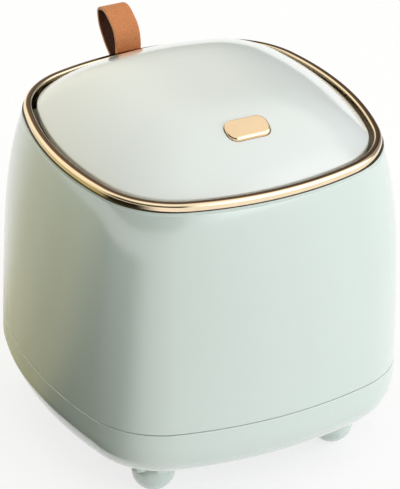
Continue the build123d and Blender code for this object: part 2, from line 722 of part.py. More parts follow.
# ------------------------------------------------------------------ lid screws
lid_planes = [Plane(origin=(x, y, liner_bottom_z), x_dir=(1, 0, 0), z_dir=(0, 0, -1))
              for x, y in lid_screws_at]
lid_length = liner_thickness + lid_screw_length - screw_tip_room
small_heads = (small_head_radius, small_head_height)
finish(screw_group(lid_planes, small_screw_radius, lid_length, *small_heads), "lid_screws")

# ------------------------------------------------------------------ carrying strap
front_centre_y = front_ply_y + strap_thickness / 2
back_centre_y = front_centre_y + strap_thickness + strap_gap
flange_back_y = body_section(shell_top_z, flange_inset)[0]
rise_y = flange_back_y + strap_thickness / 2 + assembly_clearance
with BuildPart() as strap:
    with BuildLine(Plane.YZ) as strap_line:
        front_entry = FilletPolyline(
            (front_centre_y, tail_bottom_z),
            (front_centre_y, ring_bottom_z - front_turn_drop),
            (rise_y, ring_bottom_z - front_turn_drop + front_turn_height),
            (rise_y, ring_top_z),
            radius=strap_bend,
        )
        back_entry = FilletPolyline(
            (rise_y + back_turn_reach, ring_bottom_z - back_turn_drop + back_turn_height),
            (back_centre_y, ring_bottom_z - back_turn_drop),
            (back_centre_y, tail_bottom_z),
            radius=strap_bend,
        )
        crown = [(rise_y + y * loop_reach, ring_top_z + z * loop_height) for y, z in loop_shape]
        Spline(
            front_entry @ 1,
            *crown,
            back_entry @ 0,
            tangents=[front_entry % 1, back_entry % 0],
        )
    with BuildSketch(Plane.XY.offset(tail_bottom_z)):
        with Locations((0, front_centre_y)):
            Rectangle(strap_width, strap_thickness)
    sweep(path=strap_line.wire())
    with Locations(Plane(origin=(0, clamp_y, strap_screw_z), x_dir=(1, 0, 0), z_dir=(0, 1, 0))):
        with Locations((-strap_screw_x, 0), (strap_screw_x, 0)):
            Hole(small_screw_hole, depth=3 * strap_thickness)
finish(strap.part, "strap")

with BuildPart() as strap_clamp:
    clamp_z = (strap_screw_z - clamp_height / 2, strap_screw_z + clamp_height / 2)
    block((-strap_width / 2, strap_width / 2), (clamp_y, clamp_y + clamp_thickness), clamp_z)
    fillet(strap_clamp.edges().filter_by(Axis.Y), clamp_edge)
    clamp_face = (0, clamp_y + clamp_thickness, strap_screw_z)
    with Locations(Plane(origin=clamp_face, x_dir=(1, 0, 0), z_dir=(0, 1, 0))):
        with Locations((-strap_screw_x, 0), (strap_screw_x, 0)):
            Hole(small_screw_hole, depth=2 * clamp_thickness)
finish(strap_clamp.part, "strap_clamp")

strap_planes = [Plane(origin=(side * strap_screw_x, clamp_y + clamp_thickness, strap_screw_z),
                      x_dir=(1, 0, 0), z_dir=(0, 1, 0)) for side in (-1, 1)]
strap_length = clamp_thickness + clamp_y - front_ply_y + anchor_tab_thickness
finish(screw_group(strap_planes, small_screw_radius, strap_length, *small_heads), "strap_screws")

# ------------------------------------------------------------------ inner bucket
bucket_rim_z = skirt_bottom_z - bucket_headroom
with BuildPart() as bucket_cavity:
    with BuildSketch(Plane.XY.offset(bucket_bottom_z + bucket_wall)):
        RoundedSquare(*mouth_section(bucket_bottom_inset + bucket_wall))
    with BuildSketch(Plane.XY.offset(bucket_rim_z)):
        RoundedSquare(*mouth_section(bucket_top_inset + bucket_wall))
    loft(ruled=True)
    fillet(bucket_cavity.edges().group_by(Axis.Z)[0], bucket_bottom_round - bucket_wall)

with BuildPart() as inner_bucket:
    with BuildSketch(Plane.XY.offset(bucket_bottom_z)):
        RoundedSquare(*mouth_section(bucket_bottom_inset))
    with BuildSketch(Plane.XY.offset(bucket_rim_z)):
        RoundedSquare(*mouth_section(bucket_top_inset))
    loft(ruled=True)
    fillet(inner_bucket.edges().group_by(Axis.Z)[0], bucket_bottom_round)
    Slab(mouth_section(bucket_side_gap), bucket_rim_z - bucket_rim_height, bucket_rim_z)
    fillet(inner_bucket.edges().group_by(Axis.Z)[-1], bucket_rim_height / 3)
    add(bucket_cavity.part, mode=Mode.SUBTRACT)
finish(inner_bucket.part, "inner_bucket")
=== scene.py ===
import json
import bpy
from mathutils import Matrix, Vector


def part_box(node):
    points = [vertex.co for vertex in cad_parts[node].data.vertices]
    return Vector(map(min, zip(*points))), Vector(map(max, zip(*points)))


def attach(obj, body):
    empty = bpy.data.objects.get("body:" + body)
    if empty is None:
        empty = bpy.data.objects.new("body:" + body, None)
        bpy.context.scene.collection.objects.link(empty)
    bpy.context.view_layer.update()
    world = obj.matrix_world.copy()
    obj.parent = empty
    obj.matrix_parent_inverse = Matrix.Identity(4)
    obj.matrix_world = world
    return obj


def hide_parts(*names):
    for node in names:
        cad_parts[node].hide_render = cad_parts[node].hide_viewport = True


bl_info = {
    "name": "Push-top countertop bin",
    "version": (1, 0, 0),
    "blender": (4, 5, 0),
    "location": "View3D > Sidebar > Bin",
    "description": "Dresses the frame of a push-top countertop bin with its surfaces and finishes",
    "category": "Object",
}

from math import asin, atan2, cos, degrees, hypot, pi, radians, sin, sqrt, tan

import bmesh
import bpy
from mathutils import Matrix, Vector

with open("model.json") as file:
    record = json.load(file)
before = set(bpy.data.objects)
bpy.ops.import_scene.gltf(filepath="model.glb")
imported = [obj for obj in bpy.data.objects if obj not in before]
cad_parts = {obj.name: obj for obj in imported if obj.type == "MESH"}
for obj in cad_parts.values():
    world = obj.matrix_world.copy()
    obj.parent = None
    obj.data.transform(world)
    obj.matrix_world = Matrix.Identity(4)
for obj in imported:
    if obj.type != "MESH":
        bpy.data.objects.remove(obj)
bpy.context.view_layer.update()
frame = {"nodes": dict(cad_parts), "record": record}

MM = 0.001
SIDE_STEPS = 40               # points along each bowed side of an outline
CORNER_STEPS = 28             # points round each corner of an outline
NOTCH_STEPS = (17, 23)        # points of the rear side that stand at the strap notch's edges
SHARP_ANGLE = radians(38)     # edges that turn more than this stay crisp
SMALL_STEPS = 4               # rows on the small radii of the shell, pan, ring and hole
WALL_STEPS = 34               # rows up the shell to the notch's sill
TAB_STEPS = 40                # points round a screw tab and its hole
DOME_STEPS = 44               # rows from the button's hole to the lid's edge
UNDER_STEPS = 24              # rows on the underside of the dome
EDGE_STEPS = 8                # rows on the lid's rounded edge
PEBBLE_HEADINGS = ((-1, 0), (0, -1), (1, 0), (0, 1))   # along the button's flats in turn
PEBBLE_FLATS = (6, 2, 6, 2)   # steps along those flats
GROUPS = {}                   # the shared shader groups, once they are made
MATERIALS = {}                # the finishes, once they are made


# ------------------------------------------------------------------ settings
def length(name, description, default):
    """A setting in metres."""
    return bpy.props.FloatProperty(
        name=name, description=description, default=default, unit="LENGTH"
    )


def number(name, description, default):
    """A setting without a unit."""
    return bpy.props.FloatProperty(name=name, description=description, default=default)


def shares(name, description, default):
    """A setting of several shares of a length."""
    return bpy.props.FloatVectorProperty(
        name=name, description=description, default=default, size=len(default)
    )


def colour(name, description, default):
    """A colour setting."""
    return bpy.props.FloatVectorProperty(
        name=name, description=description, default=default, subtype="COLOR", size=3,
        min=0.0, max=1.0
    )


SHELL_LOW, SHELL_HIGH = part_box("outer_shell")
PAN_LOW, PAN_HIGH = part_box("base_pan")
RING_LOW, RING_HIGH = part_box("trim_ring")
LID_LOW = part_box("lid_cover")[0]
BUTTON_LOW, BUTTON_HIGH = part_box("push_button")
STRAP_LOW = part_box("strap")[0]


class BinBodySizes(bpy.types.PropertyGroup):
    half_width: length("Half width", "From the middle to a side at the widest", SHELL_HIGH.x)
    side_radius: length("Side radius", "Bow of the four sides low on the body", 222 * MM)
    corner_radius: length("Corner radius", "Corners low on the body", 43 * MM)
    mouth_inset: length("Mouth inset", "How far the body narrows at the mouth", 9.9 * MM)
    mouth_side_radius: length("Mouth side radius", "Bow of the four sides at the mouth", 157 * MM)
    mouth_corner_radius: length("Mouth corner radius", "Corners at the mouth", 44 * MM)
    taper_start: length("Taper start", "Height at which the sides start to lean in", 46 * MM)
    taper_power: number("Taper power", "How late the shoulder turns inwards", 4.2)
    wall: length("Wall", "Thickness of the shell", 2.0 * MM)
    edge_round: length("Edge rounding", "Small radius on the shell's edges", 0.35 * MM)
    notch_half_width: length("Notch half width", "Half the width of the strap's notch", 7.6 * MM)
    notch_depth: length("Notch depth", "From the shell's top to the notch's sill", 7.6 * MM)


class BinPanSizes(bpy.types.PropertyGroup):
    lip_height: length("Lip height", "Top of the pan's outer wall", 48.1 * MM)
    bottom_round: length("Bottom rounding", "Radius between the sides and the underside", 22 * MM)
    wall: length("Wall", "Thickness of the pan's wall", 2.2 * MM)
    floor: length("Floor", "Thickness of the pan's floor", 2.5 * MM)
    spigot_inset: length("Spigot inset", "From the outside in to the spigot", 2.15 * MM)
    spigot_wall: length("Spigot wall", "Thickness of the spigot", 1.6 * MM)
    spigot_root: length("Spigot root", "Height of the spigot's lower edge", 42.5 * MM)
    rib_inset: length("Rib inset", "From the mouth line to the bucket's rest rib", 28.1 * MM)
    rib_width: length("Rib width", "Width of the rest rib", 3.0 * MM)
    rib_height: length("Rib height", "Height of the rest rib", 3.0 * MM)
    boss_reach: length("Boss reach", "From the middle to a screw boss", 88 * MM)
    boss_radius: length("Boss radius", "Radius of a screw boss", 4.2 * MM)
    boss_rise: length("Boss rise", "How far the bosses stand above the spigot", 0.5 * MM)
    screw_hole: length("Screw hole", "Radius of the holes for the base's screws", 1.45 * MM)
    hole_depth: length("Hole depth", "Depth of those holes in the bosses", 10 * MM)
    tab_bottom: length("Tab bottom", "Underside of the shell's screw tabs", 52.5 * MM)
    tab_thickness: length("Tab thickness", "Thickness of the shell's screw tabs", 4.0 * MM)


class BinFootSizes(bpy.types.PropertyGroup):
    radius: length("Radius", "Radius of the ball", 11 * MM)
    centre_height: length("Centre height", "Height of the ball's middle", 10.4 * MM)
    sole_softness: number("Sole softness", "Degrees of the ball left out at the sole's edge", 1.5)


class BinRingSizes(bpy.types.PropertyGroup):
    proud: length("Proud", "How far the ring stands out past the mouth line", 0.9 * MM)
    width: length("Width", "Width of the ring seen from above", 4.0 * MM)
    outer_round: length("Outer rounding", "Radius of the ring's outer shoulder", 2.0 * MM)
    inner_round: length("Inner rounding", "Radius of the ring's inner shoulder", 1.1 * MM)
    leg_width: length("Leg width", "Thickness of the leg below the ring", 0.9 * MM)
    flange_thickness: length("Flange thickness", "Between the shell and the ring", 1.4 * MM)


class BinLidSizes(bpy.types.PropertyGroup):
    inset: length("Inset", "From the mouth line to the lid's edge", 5.5 * MM)
    edge_height: length("Edge height", "Upright part of the lid's edge", 3.5 * MM)
    edge_round: length("Edge rounding", "Radius between the dome and the edge", 1.8 * MM)
    dome_height: length("Dome height", "From the lid's edge to its top", 23.3 * MM)
    dome_power: number("Dome power", "How flat the dome is in the middle", 3.1)
    skin: length("Skin", "Thickness of the dome", 2.2 * MM)
    wall: length("Wall", "Thickness of the lid's edge", 2.0 * MM)
    collar_wall: length("Collar wall", "Wall round the button", 1.5 * MM)
    collar_bottom: length("Collar bottom", "Height of the collar's lower edge", 178.0 * MM)
    hole_round: length("Hole rounding", "Radius on the edge of the button's hole", 0.35 * MM)


class BinButtonSizes(bpy.types.PropertyGroup):
    length: length("Length", "Across the bin", 22.5 * MM)
    width: length("Width", "Front to back", 11.4 * MM)
    corner_radius: length("Corner radius", "Corners seen from above", 4.8 * MM)
    clearance: length("Clearance", "Gap between the button and the lid", 0.25 * MM)
    proud: length("Proud", "How far the button stands above the lid", 1.6 * MM)
    edge_round: length("Edge rounding", "Radius on the button's upper edge", 1.1 * MM)
    flange_margin: length("Flange margin", "How far the flange reaches past the button", 1.5 * MM)
    flange_height: length("Flange height", "Thickness of the flange", 1.7 * MM)
    stem_radius: length("Stem radius", "Radius of the guide stem", 2.5 * MM)
    leg_inner: length("Leg inner side", "From the middle to a leg's inner side", 6.0 * MM)
    leg_outer: length("Leg outer side", "From the middle to a leg's outer side", 8.0 * MM)
    leg_front: length("Leg front", "From the button's middle to a leg's front face", 0.8 * MM)
    leg_tip: length("Leg tip", "Flat length at a leg's tip", 2.0 * MM)
    leg_rise: length("Leg rise", "From the stem's tip to the legs' tips", 1.7 * MM)


class BinStrapSizes(bpy.types.PropertyGroup):
    width: length("Width", "Width of the leather", 14 * MM)
    thickness: length("Thickness", "Thickness of the leather", 1.6 * MM)
    edge_round: length("Edge rounding", "Radius on the leather's edges", 0.55 * MM)
    bend: length("Bend", "Radius where the leather turns near its clamp", 3 * MM)
    ply_gap: length("Ply gap", "Between the two ends in the clamp", 0.05 * MM)
    rise_y: length("Rise", "Where the front ply passes behind the ring", 82.55 * MM)
    front_turn_drop: length("Front turn drop", "Below the ring's bottom", 7.2 * MM)
    front_turn_height: length("Front turn height", "Height of the front ply's slant", 4.6 * MM)
    back_turn_drop: length("Back turn drop", "Below the ring's bottom", 9.2 * MM)
    back_turn_height: length("Back turn height", "Height of the rear ply's slant", 6.2 * MM)
    back_turn_reach: length("Back turn reach", "Behind the front ply", 5.4 * MM)
    loop_reach: length("Loop reach", "How far the loop stands back", 21.4 * MM)
    loop_height: length("Loop height", "How far the loop stands above the ring", 15.6 * MM)
    loop_y: shares("Loop y", "Points along the loop, as shares of its reach",
                   (0.15, 0.35, 0.73, 1.0, 0.97, 0.67))
    loop_z: shares("Loop z", "Points along the loop, as shares of its height",
                   (0.62, 0.82, 1.0, 0.85, 0.50, -0.04))


# ------------------------------------------------------------------ outlines
class Outline:
    """A square with bowed sides and round corners, all meeting smoothly."""

    def __init__(self, half_width, side_radius, corner_radius):
        self.half_width = half_width
        self.side_radius = side_radius
        self.corner_radius = corner_radius
        self.side_centre = half_width - side_radius
        across = sqrt(2 * (side_radius - corner_radius) ** 2 - self.side_centre**2)
        self.corner_centre = (self.side_centre + across) / 2
        self.turn = atan2(self.corner_centre, self.corner_centre - self.side_centre)

    def inset(self, distance):
        return Outline(
            self.half_width - distance, self.side_radius - distance, self.corner_radius - distance
        )

    def samples(self, notch=0.0):
        """Points with their outward normals, as many on every outline.

        With a notch, two points of the rear side stand that far from the middle.
        """
        found = []
        for quarter in range(4):
            start = quarter * pi / 2
            for step in range(SIDE_STEPS):
                angle = start + self.turn * (2 * step / SIDE_STEPS - 1)
                if notch and quarter == 1 and step in NOTCH_STEPS:
                    side = 1 if step > SIDE_STEPS / 2 else -1
                    angle = start + side * asin(notch / self.side_radius)
                normal = Vector((cos(angle), sin(angle)))
                centre = self.side_centre * Vector((cos(start), sin(start)))
                found.append((centre + self.side_radius * normal, normal))
            for step in range(CORNER_STEPS):
                angle = start + self.turn + (pi / 2 - 2 * self.turn) * step / CORNER_STEPS
                normal = Vector((cos(angle), sin(angle)))
                middle = start + pi / 4
                centre = self.corner_centre * sqrt(2) * Vector((cos(middle), sin(middle)))
                found.append((centre + self.corner_radius * normal, normal))
        return found

    def share(self, point):
        """Where a point lies between the middle, 0, and the outline, 1."""
        x, y = sorted((abs(point.x), abs(point.y)), reverse=True)
        reach = hypot(x, y)
        if reach < 1e-9:
            return 0.0
        edge_x = self.side_centre + self.side_radius * cos(self.turn)
        edge_y = self.side_radius * sin(self.turn)
        if y * edge_x <= x * edge_y:
            centre, radius = Vector((self.side_centre, 0)), self.side_radius
        else:
            centre, radius = Vector((self.corner_centre, self.corner_centre)), self.corner_radius
        along = Vector((x, y)) / reach
        ahead = along.dot(centre)
        return reach / (ahead + sqrt(ahead**2 - centre.length_squared + radius**2))


def body_outline(z):
    """The body's outline at a height."""
    sizes = bpy.context.scene.bin_body
    rise = max(0.0, (z - sizes.taper_start) / (RING_HIGH.z - sizes.taper_start))
    blend = (z - PAN_LOW.z) / (RING_HIGH.z - PAN_LOW.z)
    half_width = sizes.half_width - sizes.mouth_inset * rise**sizes.taper_power
    side_radius = sizes.side_radius + (sizes.mouth_side_radius - sizes.side_radius) * blend
    corner_radius = sizes.corner_radius + (sizes.mouth_corner_radius - sizes.corner_radius) * blend
    return Outline(half_width, side_radius, corner_radius)


def mouth_outline():
    """The mouth line, at the height of the ring's top."""
    return body_outline(RING_HIGH.z)


def between(start, end, steps):
    """Values from start to end in even steps, both included."""
    return [start + (end - start) * step / steps for step in range(steps + 1)]


def arc(centre, radius, start, end, steps):
    """Points on an arc between two angles in degrees, as (across, up) pairs."""
    angles = [radians(angle) for angle in between(start, end, steps)]
    return [(centre[0] + radius * cos(a), centre[1] + radius * sin(a)) for a in angles]


# ------------------------------------------------------------------ meshes
def level_ring(bm, outline, z, notch=0.0):
    """A level ring of points on an outline."""
    return [bm.verts.new((point.x, point.y, z)) for point, _ in outline.samples(notch)]


def draped_ring(bm, points, level, lift=0.0):
    """A ring of points, each lifted from the level that a surface has there."""
    return [bm.verts.new((point.x, point.y, level(point) + lift)) for point in points]


def flat_ring(bm, points, z):
    """A ring of points at one height."""
    return [bm.verts.new((point.x, point.y, z)) for point in points]


def bridge(bm, lower, upper, skip=(), materials=None):
    """Faces between two rings with as many points."""
    count = len(lower)
    for i in range(count):
        if i in skip:
            continue
        j = (i + 1) % count
        face = bm.faces.new((lower[i], lower[j], upper[j], upper[i]))
        if materials is not None:
            face.material_index = materials[i]


def loft(bm, rings, closed=False):
    """Faces between rings in turn, and from the last back to the first if closed."""
    for lower, upper in zip(rings, rings[1:]):
        bridge(bm, lower, upper)
    if closed:
        bridge(bm, rings[-1], rings[0])


def lathe(bm, profile, x, y, steps=48):
    """A turned solid round an upright axis: (radius, z) points from the axis back to the axis."""
    rings = []
    for radius, z in profile[1:-1]:
        spokes = [2 * pi * step / steps for step in range(steps)]
        rings.append([bm.verts.new((x + radius * cos(a), y + radius * sin(a), z)) for a in spokes])
    loft(bm, rings)
    fan(bm, rings[0], (x, y, profile[0][1]))
    fan(bm, rings[-1], (x, y, profile[-1][1]))


def fan(bm, ring, centre):
    """Closes a ring with a fan of faces round a middle point."""
    middle = bm.verts.new(centre)
    for i, corner in enumerate(ring):
        bm.faces.new((corner, ring[(i + 1) % len(ring)], middle))


def finish_piece(bm, name, body, materials, node):
    """Makes the object, lets it ride on its body and stand for its node of the frame."""
    bmesh.ops.delete(bm, geom=[vert for vert in bm.verts if not vert.link_faces], context="VERTS")
    bmesh.ops.recalc_face_normals(bm, faces=bm.faces)
    for face in bm.faces:
        face.smooth = True
    for edge in bm.edges:
        edge.smooth = not edge.is_manifold or edge.calc_face_angle() < SHARP_ANGLE
    mesh = bpy.data.meshes.new(name)
    bm.to_mesh(mesh)
    bm.free()
    piece = bpy.data.objects.new(name, mesh)
    bpy.context.scene.collection.objects.link(piece)
    for material in materials:
        mesh.materials.append(MATERIALS[material])
    softer = piece.modifiers.new("flat_faces_stay_flat", "WEIGHTED_NORMAL")
    softer.keep_sharp = True
    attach(piece, body)
    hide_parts(node)


# ------------------------------------------------------------------ finishes
SOCKET_KINDS = {type(None): "NodeSocketVector", tuple: "NodeSocketColor", float: "NodeSocketFloat"}
GREY = (0.5, 0.5, 0.5)


def label_of(name):
    """The label of a socket, from its name in the code."""
    return name.replace("_", " ").title().replace("Ior", "IOR")


def node_group(name, output, **inputs):
    """A shader group with its input sockets and its one output, as they are met inside.

    An input whose default is None takes a place or a normal on the piece.
    """
    group = bpy.data.node_groups.new(name, "ShaderNodeTree")
    for key, default in inputs.items():
        kind = SOCKET_KINDS[type(default)]
        socket = group.interface.new_socket(
            name=label_of(key), in_out="INPUT", socket_type=kind
        )
        if default is not None:
            socket.default_value = (*default, 1.0) if isinstance(default, tuple) else default
    kind = SOCKET_KINDS[tuple if output == "Color" else float]
    group.interface.new_socket(name=output, in_out="OUTPUT", socket_type=kind)
    given, result = group.nodes.new("NodeGroupInput"), group.nodes.new("NodeGroupOutput")
    return group, given.outputs[:len(inputs)], result.inputs[0]


def feed(tree, socket, entry):
    """Links a node's input to another socket, or sets a number or colour on it."""
    if isinstance(entry, bpy.types.NodeSocket):
        tree.links.new(entry, socket)
    elif isinstance(entry, tuple) and socket.type == "RGBA":
        socket.default_value = (*entry, 1.0)
    else:
        socket.default_value = entry


def wire(tree, kind, output, **inputs):
    """Adds a node with its inputs fed, and gives one of its outputs."""
    node = tree.nodes.new(kind)
    for label, entry in inputs.items():
        feed(tree, node.inputs[label_of(label)], entry)
    return node.outputs[output]


def calculate(tree, operation, first, second):
    """The result of a sum, product or the like of two values."""
    node = tree.nodes.new("ShaderNodeMath")
    node.operation = operation
    feed(tree, node.inputs[0], first)
    feed(tree, node.inputs[1], second)
    return node.outputs[0]


def noise(tree, vector, scale, detail, roughness=0.5):
    """A field of noise, whose values gather round a half."""
    return wire(tree, "ShaderNodeTexNoise", "Fac", vector=vector, scale=scale, detail=detail,
                roughness=roughness)


def remap(tree, value, low, high, new_low, new_high):
    """Stretches the values between low and high to new limits."""
    return wire(tree, "ShaderNodeMapRange", "Result", value=value, from_min=low, from_max=high,
                to_min=new_low, to_max=new_high)


def height_of(tree, vector):
    """The Z part of a vector."""
    return wire(tree, "ShaderNodeSeparateXYZ", "Z", vector=vector)


def mix_colour(tree, factor, first, second, data_type="RGBA"):
    """A colour between two, or a value with data_type FLOAT."""
    node = tree.nodes.new("ShaderNodeMix")
    node.data_type = data_type
    for label, entry in (("Factor", factor), ("A", first), ("B", second)):
        feed(tree, node.inputs[label], entry)
    return node.outputs["Result"]


def colour_drift_group():
    """Two near tones that drift into each other over the surface."""
    group, (place, tone_a, tone_b, scale), result = node_group(
        "colour_drift", "Color", vector=None, tone_a=GREY, tone_b=GREY, scale=12.0
    )
    factor = remap(group, noise(group, place, scale, 2.0), 0.35, 0.65, 0.0, 1.0)
    group.links.new(mix_colour(group, factor, tone_a, tone_b), result)
    return group


def haze_group():
    """Roughness that varies with handling: broad smudges and fine hairlines."""
    group, (place, low, high, scale), result = node_group(
        "handling_haze", "Roughness", vector=None, low=0.1, high=0.2, scale=30.0
    )
    field = noise(group, place, scale, 5.0, 0.65)
    group.links.new(remap(group, field, 0.3, 0.7, low, high), result)
    return group


def moulding_group():
    """Height of a moulded skin: a long soft ripple with a fine grain on it."""
    group, (place, ripple_scale, grain_scale, grain_share), result = node_group(
        "moulding_skin", "Height", vector=None, ripple_scale=60.0, grain_scale=900.0,
        grain_share=0.3
    )
    ripple = noise(group, place, ripple_scale, 1.0)
    grain = noise(group, place, grain_scale, 2.0)
    group.links.new(mix_colour(group, grain_share, ripple, grain, "FLOAT"), result)
    return group


def edge_wear_group():
    """Mask of the edges that hands and cloths rub, broken up in patches."""
    group, (place, scale), result = node_group("edge_wear", "Mask", vector=None, scale=60.0)
    pointiness = wire(group, "ShaderNodeNewGeometry", "Pointiness")
    edge = remap(group, pointiness, 0.53, 0.62, 0.0, 1.0)
    patches = remap(group, noise(group, place, scale, 3.0), 0.35, 0.6, 0.2, 1.0)
    group.links.new(calculate(group, "MULTIPLY", edge, patches), result)
    return group


def level_face_group():
    """Mask of the faces that lie level and look up."""
    group, (normal, start, full), result = node_group(
        "level_face", "Mask", normal=None, start=0.5, full=0.8
    )
    group.links.new(remap(group, height_of(group, normal), start, full, 0.0, 1.0), result)
    return group


SHARED_GROUPS = {
    "colour_drift": colour_drift_group,
    "handling_haze": haze_group,
    "moulding_skin": moulding_group,
    "edge_wear": edge_wear_group,
    "level_face": level_face_group,
}


def shaded(colour_value, share):
    """A darker or lighter tone of a colour."""
    return tuple(min(1.0, part * share) for part in colour_value)


class Finish:
    """A material under construction, with its shader and the piece's coordinates."""

    def __init__(self, name):
        self.name = name
        self.material = bpy.data.materials.new(name)
        self.material.use_nodes = True
        self.tree = self.material.node_tree
        self.shader = self.tree.nodes["Principled BSDF"]
        place = self.tree.nodes.new("ShaderNodeTexCoord")
        self.vector = place.outputs["Object"]
        self.normal = place.outputs["Normal"]

    def set(self, **values):
        """Sets plain values on the shader's own sockets."""
        for label, value in values.items():
            self.shader.inputs[label_of(label)].default_value = value

    def shared(self, name, place, **values):
        """Puts a shared group in the material, fed with a place or a normal of the piece."""
        node = self.tree.nodes.new("ShaderNodeGroup")
        node.node_tree = GROUPS[name]
        self.tree.links.new(place, node.inputs[0])
        for label, value in values.items():
            feed(self.tree, node.inputs[label_of(label)], value)
        return node.outputs[0]

    def drift(self, tone_a, tone_b, scale):
        """Base colour that drifts between two tones."""
        tone = self.shared("colour_drift", self.vector, tone_a=tone_a, tone_b=tone_b, scale=scale)
        self.tree.links.new(tone, self.shader.inputs["Base Color"])

    def cover(self, mask, tone):
        """Lays a tone over the base colour where a mask says so."""
        socket = self.shader.inputs["Base Color"]
        mixed = mix_colour(self.tree, mask, socket.links[0].from_socket, tone)
        self.tree.links.new(mixed, socket)

    def level_painted_tone(self, tone, start, full):
        """Lays a tone of painted shade and painted reflection over the faces that look up."""
        self.cover(self.shared("level_face", self.normal, start=start, full=full), tone)

    def wear(self, tone, scale):
        """Lays a tone over the rubbed edges."""
        self.cover(self.shared("edge_wear", self.vector, scale=scale), tone)

    def haze(self, low, high, scale):
        """Roughness that varies between two values."""
        rough = self.shared("handling_haze", self.vector, low=low, high=high, scale=scale)
        self.tree.links.new(rough, self.shader.inputs["Roughness"])

    def bump(self, height, distance):
        """Turns a height into bump of the given depth."""
        normal = wire(self.tree, "ShaderNodeBump", "Normal", height=height, distance=distance,
                      strength=1.0)
        self.tree.links.new(normal, self.shader.inputs["Normal"])

    def moulding(self, ripple_scale, grain_scale, grain_share, distance):
        """Bump of a moulded skin."""
        height = self.shared("moulding_skin", self.vector, ripple_scale=ripple_scale,
                             grain_scale=grain_scale, grain_share=grain_share)
        self.bump(height, distance)


def gloss_plastic(name, tone):
    """Glossy moulding with a clear sheen."""
    finish = Finish(name)
    finish.drift(tone, shaded(tone, 0.985), 9.0)
    finish.wear(shaded(tone, 1.06), 80.0)
    finish.haze(0.10, 0.20, 45.0)
    finish.moulding(38.0, 700.0, 0.25, 0.02 * MM)
    finish.set(ior=1.5, coat_weight=1.0, coat_roughness=0.12, coat_ior=1.8)
    return finish


def gold_plating(name, tone):
    """Polished plating with faint handling marks."""
    finish = Finish(name)
    finish.drift(tone, shaded(tone, 0.93), 60.0)
    finish.wear(shaded(tone, 1.04), 200.0)
    finish.haze(0.07, 0.16, 120.0)
    finish.moulding(120.0, 1500.0, 0.2, 0.01 * MM)
    finish.set(metallic=1.0)
    return finish


def ring_plating(name, tone, painted_dark_tone):
    """Gold plating whose flat top gets a painted dark reflection between its shoulders."""
    finish = gold_plating(name, tone)
    # painted reflection: a dark tone on the ring's faces that look up
    finish.level_painted_tone(painted_dark_tone, 0.87, 0.955)
    return finish


def frame_plastic(name, tone, painted_dark_tone, level):
    """Body plastic, with painted shade below a level and on the ledges in the gap beside the lid.
    """
    finish = Finish(name)
    finish.drift(tone, shaded(tone, 0.985), 9.0)
    height = height_of(finish.tree, finish.vector)
    # painted shade below the shell's top, down in the gap beside the lid
    finish.cover(remap(finish.tree, height, level, level - 0.3 * MM, 0.0, 1.0), painted_dark_tone)
    # painted shade on the ledges that look up in the gap
    finish.level_painted_tone(painted_dark_tone, 0.5, 0.8)
    finish.haze(0.25, 0.4, 45.0)
    finish.moulding(38.0, 700.0, 0.25, 0.02 * MM)
    finish.set(ior=1.5)
    return finish


def bright_steel(name, tone):
    """Plated steel of the screws, pin, springs and clamp."""
    finish = Finish(name)
    finish.drift(tone, shaded(tone, 0.85), 300.0)
    finish.haze(0.22, 0.4, 400.0)
    finish.moulding(500.0, 3000.0, 0.5, 0.02 * MM)
    finish.set(metallic=1.0)
    return finish


def matt_plastic(name, tone):
    """Fine-grained moulding of the parts inside."""
    finish = Finish(name)
    finish.drift(tone, shaded(tone, 0.96), 15.0)
    finish.haze(0.42, 0.55, 60.0)
    finish.moulding(400.0, 2600.0, 0.6, 0.05 * MM)
    finish.set(ior=1.5)
    return finish


def leather(name, tone, pore_scale, low, high, depth):
    """Leather with pores between its grains and worn, lighter patches."""
    finish = Finish(name)
    tree = finish.tree
    cells = tree.nodes.new("ShaderNodeTexVoronoi")
    cells.feature = "DISTANCE_TO_EDGE"
    feed(tree, cells.inputs["Scale"], pore_scale)
    feed(tree, cells.inputs["Vector"], finish.vector)
    grain = remap(tree, cells.outputs["Distance"], 0.0, 0.12, 0.0, 1.0)
    broad = noise(tree, finish.vector, 90.0, 4.0)
    worn = mix_colour(tree, broad, shaded(tone, 0.90), shaded(tone, 1.08))
    pores = mix_colour(tree, grain, shaded(tone, 0.72), worn)
    tree.links.new(pores, finish.shader.inputs["Base Color"])
    finish.wear(shaded(tone, 1.35), 150.0)
    finish.haze(low, high, 200.0)
    finish.bump(grain, depth)
    finish.set(ior=1.45)
    return finish


class BinFinishColours(bpy.types.PropertyGroup):
    body: colour("Body", "Pale mint moulding", (0.62, 0.72, 0.68))
    lid: colour("Lid", "Paler blue-white moulding", (0.74, 0.79, 0.78))
    gold: colour("Gold", "Rose-gold plating", (0.95, 0.70, 0.46))
    ring: colour("Ring", "Paler gold plating of the ring", (0.97, 0.79, 0.56))
    # painted dark reflection, laid on the ring's flat top
    gold_deep: colour("Painted reflection on ring", "Tone of the ring's flat top", (0.11, 0.06, 0.03))
    # painted shade in the gap between the ring and the lid
    frame_deep: colour("Frame's painted shade", "Ledges in the gap by the lid", (0.035, 0.024, 0.014))
    leather_face: colour("Leather face", "Grain side of the loop", (0.72, 0.26, 0.09))
    # darker flesh side of the leather, darkened further with painted shade from inside the loop
    leather_back: colour("Leather back", "Flesh side of the loop", (0.10, 0.025, 0.008))
    leather_edge: colour("Leather edge", "Painted edge of the loop", (0.72, 0.34, 0.15))
    steel: colour("Steel", "Plated steel", (0.60, 0.60, 0.59))
    liner: colour("Liner", "Underside of the lid and its latch", (0.70, 0.72, 0.71))
    bucket: colour("Bucket", "Inner bucket", (0.55, 0.58, 0.57))


